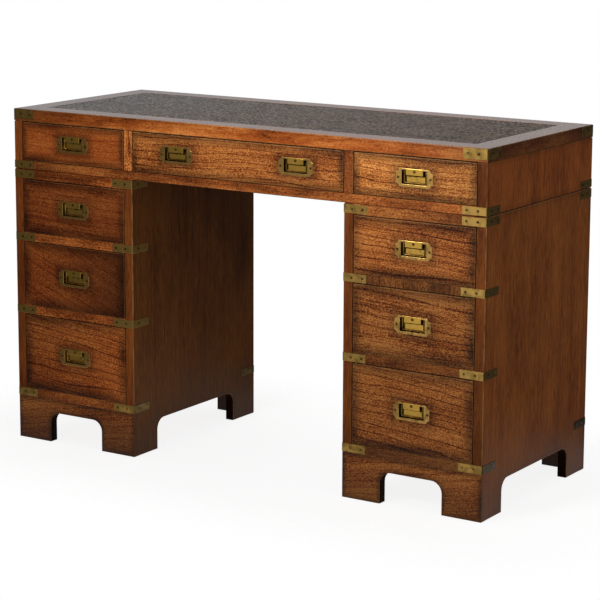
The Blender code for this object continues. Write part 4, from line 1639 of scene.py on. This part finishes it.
@dataclass
class CornerStrap:
    """One L-shaped brass strap that binds a corner, with two screws in each arm.

    Attributes:
        name: the strap's name.
        corner: the corner's place in plan and the strap's middle height.
        into: signs of the ways into the desk, along X and along Y.
        height: the strap's height.
        arm: length of each arm.
        thickness: how far the strap stands out.
        sunk: how far its section reaches into the wood.
        bend: radius of the wood's arris.
        bevel: width of the bevel on the strap's edges.
        tarnish: how far air and floor wax have browned it.
        flank_shade: how far painted shade darkens the arm on the desk's side.
        screws: distances of the screws from the corner.
        screw: radius of a screw's head.
        front_slots, flank_slots: angles of the slots in each arm.
    """

    name: str
    corner: Triple
    into: tuple[int, int]
    height: float = 18.0 * MM
    arm: float = 56.0 * MM
    thickness: float = 0.8 * MM
    sunk: float = 0.5 * MM
    bend: float = 1.5 * MM
    bevel: float = 0.3 * MM
    tarnish: float = 0.0
    flank_shade: float = 0.0
    screws: Pair = (20 * MM, 46 * MM)
    screw: float = 3.0 * MM
    front_slots: Pair = (0.7, 2.0)
    flank_slots: Pair = (2.1, 1.2)

    def build(self, shop: Workshop) -> None:
        """Makes the strap and its screws.

        Args:
            shop: the workshop that makes the pieces.
        """
        axes = np.diag([*self.into, 1]).astype(float)
        shop.fit(self.name, self.strap().placed(axes, self.corner), Finish.BRASS, CARCASE)
        front = np.array([(1, 0, 0), (0, 0, 1), (0, -1, 0)], float)
        flank = np.array([(0, 1, 0), (0, 0, 1), (-1, 0, 0)], float)
        heads = []
        for place, front_slot, flank_slot in zip(self.screws, self.front_slots, self.flank_slots):
            heads.append(screw_head(self.screw, front_slot).placed(front, (place, -self.thickness, 0)))
            heads.append(screw_head(self.screw, flank_slot).placed(flank, (-self.thickness, place, 0)))
        screws = heads[0].joined(*heads[1:]).placed(axes, self.corner)
        name = self.name.replace("strap", "strap_screws")
        shop.fit(name, screws, Finish.BROWNED, CARCASE, smooth=True)

    def strap(self) -> Surface:
        """Makes the strap about the corner, with the desk in its positive quarter.

        A flat section is carried along an L path: P = path + outward * offset, with the height added.
        The path's first and last stations carry a smaller section, which bevels the ends.

        Returns:
            The strap's surface.
        """
        t, h, b = self.thickness, self.height / 2, self.bevel
        offset = np.array([-self.sunk, t - b, t, t, t - b, -self.sunk])
        rise = np.array([-h, -h, b - h, h - b, h, h])
        turn = np.linspace(-np.pi / 2, -np.pi, 5)
        away = np.stack([np.cos(turn), np.sin(turn)], 1)
        run = np.array([self.arm, self.arm - b])[:, None]
        path = np.concatenate([run * (1, 0), self.bend * (1 + away), run[::-1] * (0, 1)])
        outward = np.concatenate([np.tile((0.0, -1.0), (2, 1)), away, np.tile((-1.0, 0.0), (2, 1))])
        ends = np.zeros((len(path), 1), bool)
        ends[[0, -1]] = True
        offsets = np.where(ends, np.minimum(offset, t - b), offset)
        rises = np.where(ends, rise * (1 - b / h), rise)
        flat = path[:, None] + outward[:, None] * offsets[..., None]
        points = np.concatenate([flat, rises[..., None]], -1).reshape(-1, 3)
        count = len(offset)
        faces = grid_faces(len(path), count).tolist()
        faces += [list(range(count))[::-1], list(range(len(points) - count, len(points)))]
        wear = np.where(ends, 1.0, np.array([0, 1, 0.5, 0.5, 1, 0])) - self.tarnish
        # Painted shade on the arm along the desk's side
        painted_shade = np.broadcast_to(-outward[:, :1] * self.flank_shade, offsets.shape)
        return Surface(points, faces, {"wear": wear.ravel(), "painted_shade": painted_shade.ravel()})


# Studio and camera


@dataclass(frozen=True)
class Lamp:
    """An oblong soft lamp that looks at a point.

    Attributes:
        name: the lamp's name.
        place, aim: where it hangs and what it looks at.
        size: its width and height.
        power: its power in watts.
        spread: the angle of its beam in degrees.
    """

    name: str
    place: Triple
    aim: Triple
    size: Pair
    power: float
    spread: float = 180.0

    def build(self) -> None:
        """Makes the lamp."""
        light = bpy.data.lights.new(self.name, "AREA")
        light.shape = "RECTANGLE"
        light.size, light.size_y = self.size
        light.energy, light.spread = self.power, math.radians(self.spread)
        lamp = bpy.data.objects.new(self.name, light)
        lamp.location = self.place
        lamp.rotation_mode = "QUATERNION"
        lamp.rotation_quaternion = (Vector(self.aim) - Vector(self.place)).to_track_quat("-Z", "Y")
        bpy.context.scene.collection.objects.link(lamp)


@dataclass
class Studio:
    """A plain studio: a white backdrop behind the desk, a dim room, a pale floor and three soft lamps.

    Attributes:
        backdrop: direction of the backdrop's middle in plan.
        backdrop_edge: cosines of the angles from there at which the white begins and is full.
        room: strength of the room that lights the desk from all sides.
        unlit: grey of the room away from the backdrop, as reflections see it.
        floor_reach: the floor's radius.
        footprint: half of the desk's width and depth, and no height.
        floor_fade: distances from the desk at which the floor begins to fade and is gone.
        paper, shaded, glow: sRGB colours of the floor for light and for shadows, and its own white.
        lamps: a soft key from the front left, a low reflector and a soft lamp overhead.
    """

    backdrop: Triple = (-0.543, 0.840, 0.0)
    backdrop_edge: Pair = (0.78, 0.95)
    room: float = 0.22
    unlit: float = 0.075
    floor_reach: float = 1.1
    footprint: Triple = (0.61, 0.24, 0.0)
    floor_fade: Pair = (0.06, 0.42)
    paper: str = "#E8E8E8"
    shaded: str = "#A8A8A8"
    glow: float = 0.87
    lamps: tuple[Lamp, ...] = (
        Lamp("key_softbox", (-0.155, -1.60, 1.64), (0.281, -0.24, 1.40), (0.6, 0.6), 9.2, 81.5),
        Lamp("low_reflector", (-0.35, -2.6, 0.10), (0.35, -0.24, 0.10), (0.9, 1.2), 4.4),
        Lamp("overhead_softbox", (0.3, -0.4, 2.9), (0.0, 0.0, 0.7), (1.8, 1.8), 3.0),
    )

    def build(self) -> None:
        """Makes the world, the floor and the lamps."""
        self.build_world()
        self.build_floor()
        for lamp in self.lamps:
            lamp.build()

    def seen(self, nodes: Recipe) -> Socket:
        """Tells rays that see the studio from light that falls on the desk.

        Args:
            nodes: the tree of the world or of a material.

        Returns:
            1 for rays from the camera, from gloss and through glass, and 0 for light.
        """
        path = add_node(nodes.tree, "LightPath").outputs
        first = nodes.math("MAXIMUM", path["Is Camera Ray"], path["Is Glossy Ray"])
        return nodes.math("MAXIMUM", first, path["Is Transmission Ray"])

    def build_world(self) -> None:
        """Makes the room: white to the camera and in the backdrop's direction, and dim elsewhere."""
        world = bpy.data.worlds.new("studio")
        bpy.context.scene.world = world
        world.use_nodes = True
        nodes = Recipe(world.node_tree)
        nodes.tree.nodes.clear()
        way = add_node(nodes.tree, "TexCoord").outputs["Generated"]
        toward = nodes.vector("DOT_PRODUCT", way, self.backdrop)
        white = nodes.ramp(toward, *self.backdrop_edge, self.unlit, 1.0, smooth=True)
        camera = add_node(nodes.tree, "LightPath").outputs["Is Camera Ray"]
        strength = nodes.math("MAXIMUM", white, camera)
        view = nodes.plain("Background", {"Color": WHITE, "Strength": strength})
        light = nodes.plain("Background", {"Color": WHITE, "Strength": self.room})
        both = nodes.plain("MixShader", {0: self.seen(nodes), 1: light, 2: view})
        add_node(nodes.tree, "OutputWorld", {}, {"Surface": both})

    def build_floor(self) -> None:
        """Makes the floor: a disc on a polar grid, P = ring * (cosine, sine) of the spoke's angle."""
        rings, spokes, hub = 25, 72, 0.02
        ring = np.linspace(hub, 1.0, rings)[:, None] * self.floor_reach
        angle = np.linspace(0, 2 * np.pi, spokes, endpoint=False)
        points = np.stack([ring * np.cos(angle), ring * np.sin(angle), np.zeros((rings, spokes))], -1)
        faces = grid_faces(rings, spokes)[:, ::-1].tolist() + [list(range(spokes))]
        mesh = bpy.data.meshes.new("studio_floor")
        mesh.from_pydata(points.reshape(-1, 3).tolist(), [], faces)
        floor = bpy.data.objects.new("studio_floor", mesh)
        bpy.context.scene.collection.objects.link(floor)
        mesh.materials.append(self.floor_material())

    def floor_material(self) -> bpy.types.Material:
        """Makes matt paper, which keeps the desk's soft shadow and fades into the backdrop.

        Returns:
            The material.
        """
        material, nodes, shader = new_material("matt_paper_floor")
        nodes.tree.nodes.remove(shader)
        fade = nodes.ramp(nodes.outside(nodes.place(), self.footprint), *self.floor_fade, smooth=True)
        lit = nodes.plain("BsdfDiffuse", {"Color": hex_linear(self.paper)})
        shadow = nodes.plain("BsdfDiffuse", {"Color": hex_linear(self.shaded)})
        glow = nodes.plain("Emission", {"Color": WHITE, "Strength": self.glow})
        paper = nodes.plain("AddShader", {0: shadow, 1: glow})
        view = nodes.plain("MixShader", {0: self.seen(nodes), 1: lit, 2: paper})
        both = nodes.plain("MixShader", {0: fade, 1: view, 2: nodes.plain("BsdfTransparent", {})})
        nodes.tree.links.new(both, nodes.tree.nodes["Material Output"].inputs["Surface"])
        return material


@dataclass
class PhotoCamera:
    """The photograph's camera, fitted to the desk's corners in a 600 by 600 image.

    Attributes:
        place: where it stands.
        azimuth, pitch, roll: its turn to the left, its tilt down and its lean, in degrees.
        focal: focal length in pixels.
        image: the image's width in pixels.
        sensor: the sensor's width in millimetres.
        shift: upward shift of the frame, as a share of its width.
    """

    place: Triple = (2.6368, -4.0603, 1.3539)
    azimuth: float = 32.882
    pitch: float = 10.112
    roll: float = 0.226
    focal: float = 2194.1
    image: float = 600.0
    sensor: float = 36.0
    shift: float = -0.1

    def build(self) -> None:
        """Makes the camera and hands it to the scene."""
        data = bpy.data.cameras.new("photo_camera")
        data.sensor_width = self.sensor
        data.lens = self.focal / self.image * self.sensor
        data.shift_y = self.shift
        a, p, r = (math.radians(angle) for angle in (self.azimuth, self.pitch, self.roll))
        forward = Vector((-math.sin(a) * math.cos(p), math.cos(a) * math.cos(p), -math.sin(p)))
        level = Vector((math.cos(a), math.sin(a), 0.0))
        upright = level.cross(forward)
        right = math.cos(r) * level + math.sin(r) * upright
        up = math.cos(r) * upright - math.sin(r) * level
        turn = Matrix((right, up, -forward)).transposed().to_4x4()
        camera = bpy.data.objects.new("photo_camera", data)
        camera.matrix_world = Matrix.Translation(self.place) @ turn
        bpy.context.scene.collection.objects.link(camera)
        bpy.context.scene.camera = camera


# The desk's own pieces, as they have aged


def pedestals() -> list[Pedestal]:
    """Lists the two pedestals; the left one's rails are redder, its plinth is darker, and its inner side
    carries painted shade, darker at its top and its back.

    Returns:
        The left and the right pedestal.
    """
    right = Pedestal(Side.RIGHT)
    rails = replace(right.rail_cut, tone=2.07, red=0.18, climb=-0.4, log=0)
    feet = replace(right.foot_cut, tone=0.86, red=0.06, climb=0.2)
    outer = BoardCut(Grain.ALONG_HEIGHT, 0.6, 1.4, 0.1, edge=0.9, arris=0.8 * MM)
    # The left pedestal's inner side, in the kneehole, is darker at its top and its back: painted shade
    inner = replace(right.inner_cut, red=-0.3, edge=1.3, edge_red=0.0, slope=-0.28, climb=-0.25)
    return [Pedestal(Side.LEFT, outer_cut=outer, inner_cut=inner, rail_cut=rails, foot_cut=feet), right]


def drawers() -> list[Drawer]:
    """Lists the nine drawers.

    Each row holds the front's lightness, redness, lean of the grain, growth lines, figure and slope, and
    its handles' polish and darkness, the painted shade in their cups and on their bails.

    Returns:
        The drawers, with the middle one first.
    """
    rows = {
        "top_middle": (0.88, 0.02, 1.5, 1.0, 1.2, -0.05, 0.8, 0.6),
        "top_left": (1.27, 0.12, 1.0, 0.8, 0.55, -0.12, 0.5, 0.2),
        "upper_left": (0.76, 0.24, -2.0, 0.8, 0.85, -0.15, 0.5, 0.2),
        "middle_left": (0.74, 0.22, -24.0, 0.6, 0.8, -0.6, 0.5, 0.2),
        "lower_left": (1.24, 0.14, -6.0, 1.3, 0.9, 0.2, 0.5, 0.2),
        "top_right": (1.08, -0.12, -1.0, 0.9, 1.05, -0.13, 0.3, 1.0),
        "upper_right": (0.93, 0.05, -3.0, 1.2, 1.15, -0.06, 0.0, 1.0),
        "middle_right": (0.83, 0.0, -2.5, 1.0, 1.25, 0.0, 0.0, 1.0),
        "lower_right": (0.95, 0.02, -5.0, 1.25, 1.15, 0.0, 0.0, 1.0),
    }
    pairs = {"top_middle": ("top_middle_left", "top_middle_right")}
    return [Drawer(name, pairs.get(name, (name,)), *row) for name, row in rows.items()]


def upright_edges(low: Vector, high: Vector) -> list[tuple[str, str, Pair, tuple[int, int]]]:
    """Lists a box's four upright edges.

    Args:
        low, high: the box's lowest and highest corner.

    Returns:
        For each edge, front or back, left or right, its place in plan and the signs of the ways inwards.
    """
    return [(end, side, (x, y), (into_x, into_y))
            for x, into_x, side in ((low.x, 1, "left"), (high.x, -1, "right"))
            for y, into_y, end in ((low.y, 1, "front"), (high.y, -1, "back"))]


def corner_straps() -> list[CornerStrap]:
    """Lists the desk's straps: on the top board, the case and the pedestals.

    Straps near the floor are the brownest, and painted shade darkens the arms on the desk's sides.

    Returns:
        The straps.
    """
    cap, cap_drop, case, case_lift, foot_drop = (size * MM for size in (22, 12, 17, 0.8, 10))
    tarnish = {Side.LEFT: {"foot": 0.9}, Side.RIGHT: {"foot": 0.9, "upper": 0.2, "lower": 0.35}}
    # Painted shade on the side arms, by side and level
    flank_shade = {Side.LEFT: {"foot": 0.7, "lower": 0.45},
              Side.RIGHT: {"foot": 0.85, "top": 0.35, "upper": 0.35, "lower": 0.35}}
    straps = []
    low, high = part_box("top_board")
    rail_low, rail_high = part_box("top_floor")
    rail = (rail_low.z + rail_high.z) / 2 + case_lift
    for end, edge, plan, into in upright_edges(low, high):
        # The right-hand case straps carry painted shade on their side arms
        browned, dark_flank = (0.35, 0.0) if edge == "left" else (0.7, 0.35)
        straps.append(CornerStrap(f"top_strap_{end}_{edge}", (*plan, high.z - cap_drop), into, cap,
                                  bend=2.0 * MM, tarnish=browned))
        straps.append(CornerStrap(f"case_strap_{end}_{edge}", (*plan, rail), into, case, flank_shade=dark_flank))
    for side in Side:
        boards = {"top": "top", "upper": "upper_dustboard", "lower": "lower_dustboard"}
        boxes = {level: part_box(f"{side.value}_{board}") for level, board in boards.items()}
        heights = {level: (box[0].z + box[1].z) / 2 for level, box in boxes.items()}
        low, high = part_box(f"{side.value}_plinth")
        heights["foot"] = high.z - foot_drop
        for end, edge, plan, into in upright_edges(low, high):
            kneehole = {"top": 0.5} if (side, edge) == (Side.RIGHT, "left") else {}
            for level, z in heights.items():
                if end == "front" or level in ("top", "foot"):
                    name = f"{side.value}_strap_{level}_{end}_{edge}"
                    browned = (tarnish[side] | kneehole).get(level, 0.0)
                    straps.append(CornerStrap(name, (*plan, z), into, tarnish=browned,
                                              flank_shade=flank_shade[side].get(level, 0.0)))
    return straps


def main() -> None:
    """Builds the desk's pieces in order, then the studio and the camera."""
    logging.basicConfig(level=logging.INFO, format="%(message)s")
    shop = Workshop({finish: look.build(finish.label) for finish, look in FINISHES.items()})
    for part in (WritingTop(), TopSection(), *pedestals(), *drawers(), *corner_straps()):
        part.build(shop)
    Studio().build()
    PhotoCamera().build()
    bpy.context.scene.view_settings.view_transform = "Standard"
    LOG.info("boards cut: %d", shop.boards)


if __name__ == "__main__":
    main()
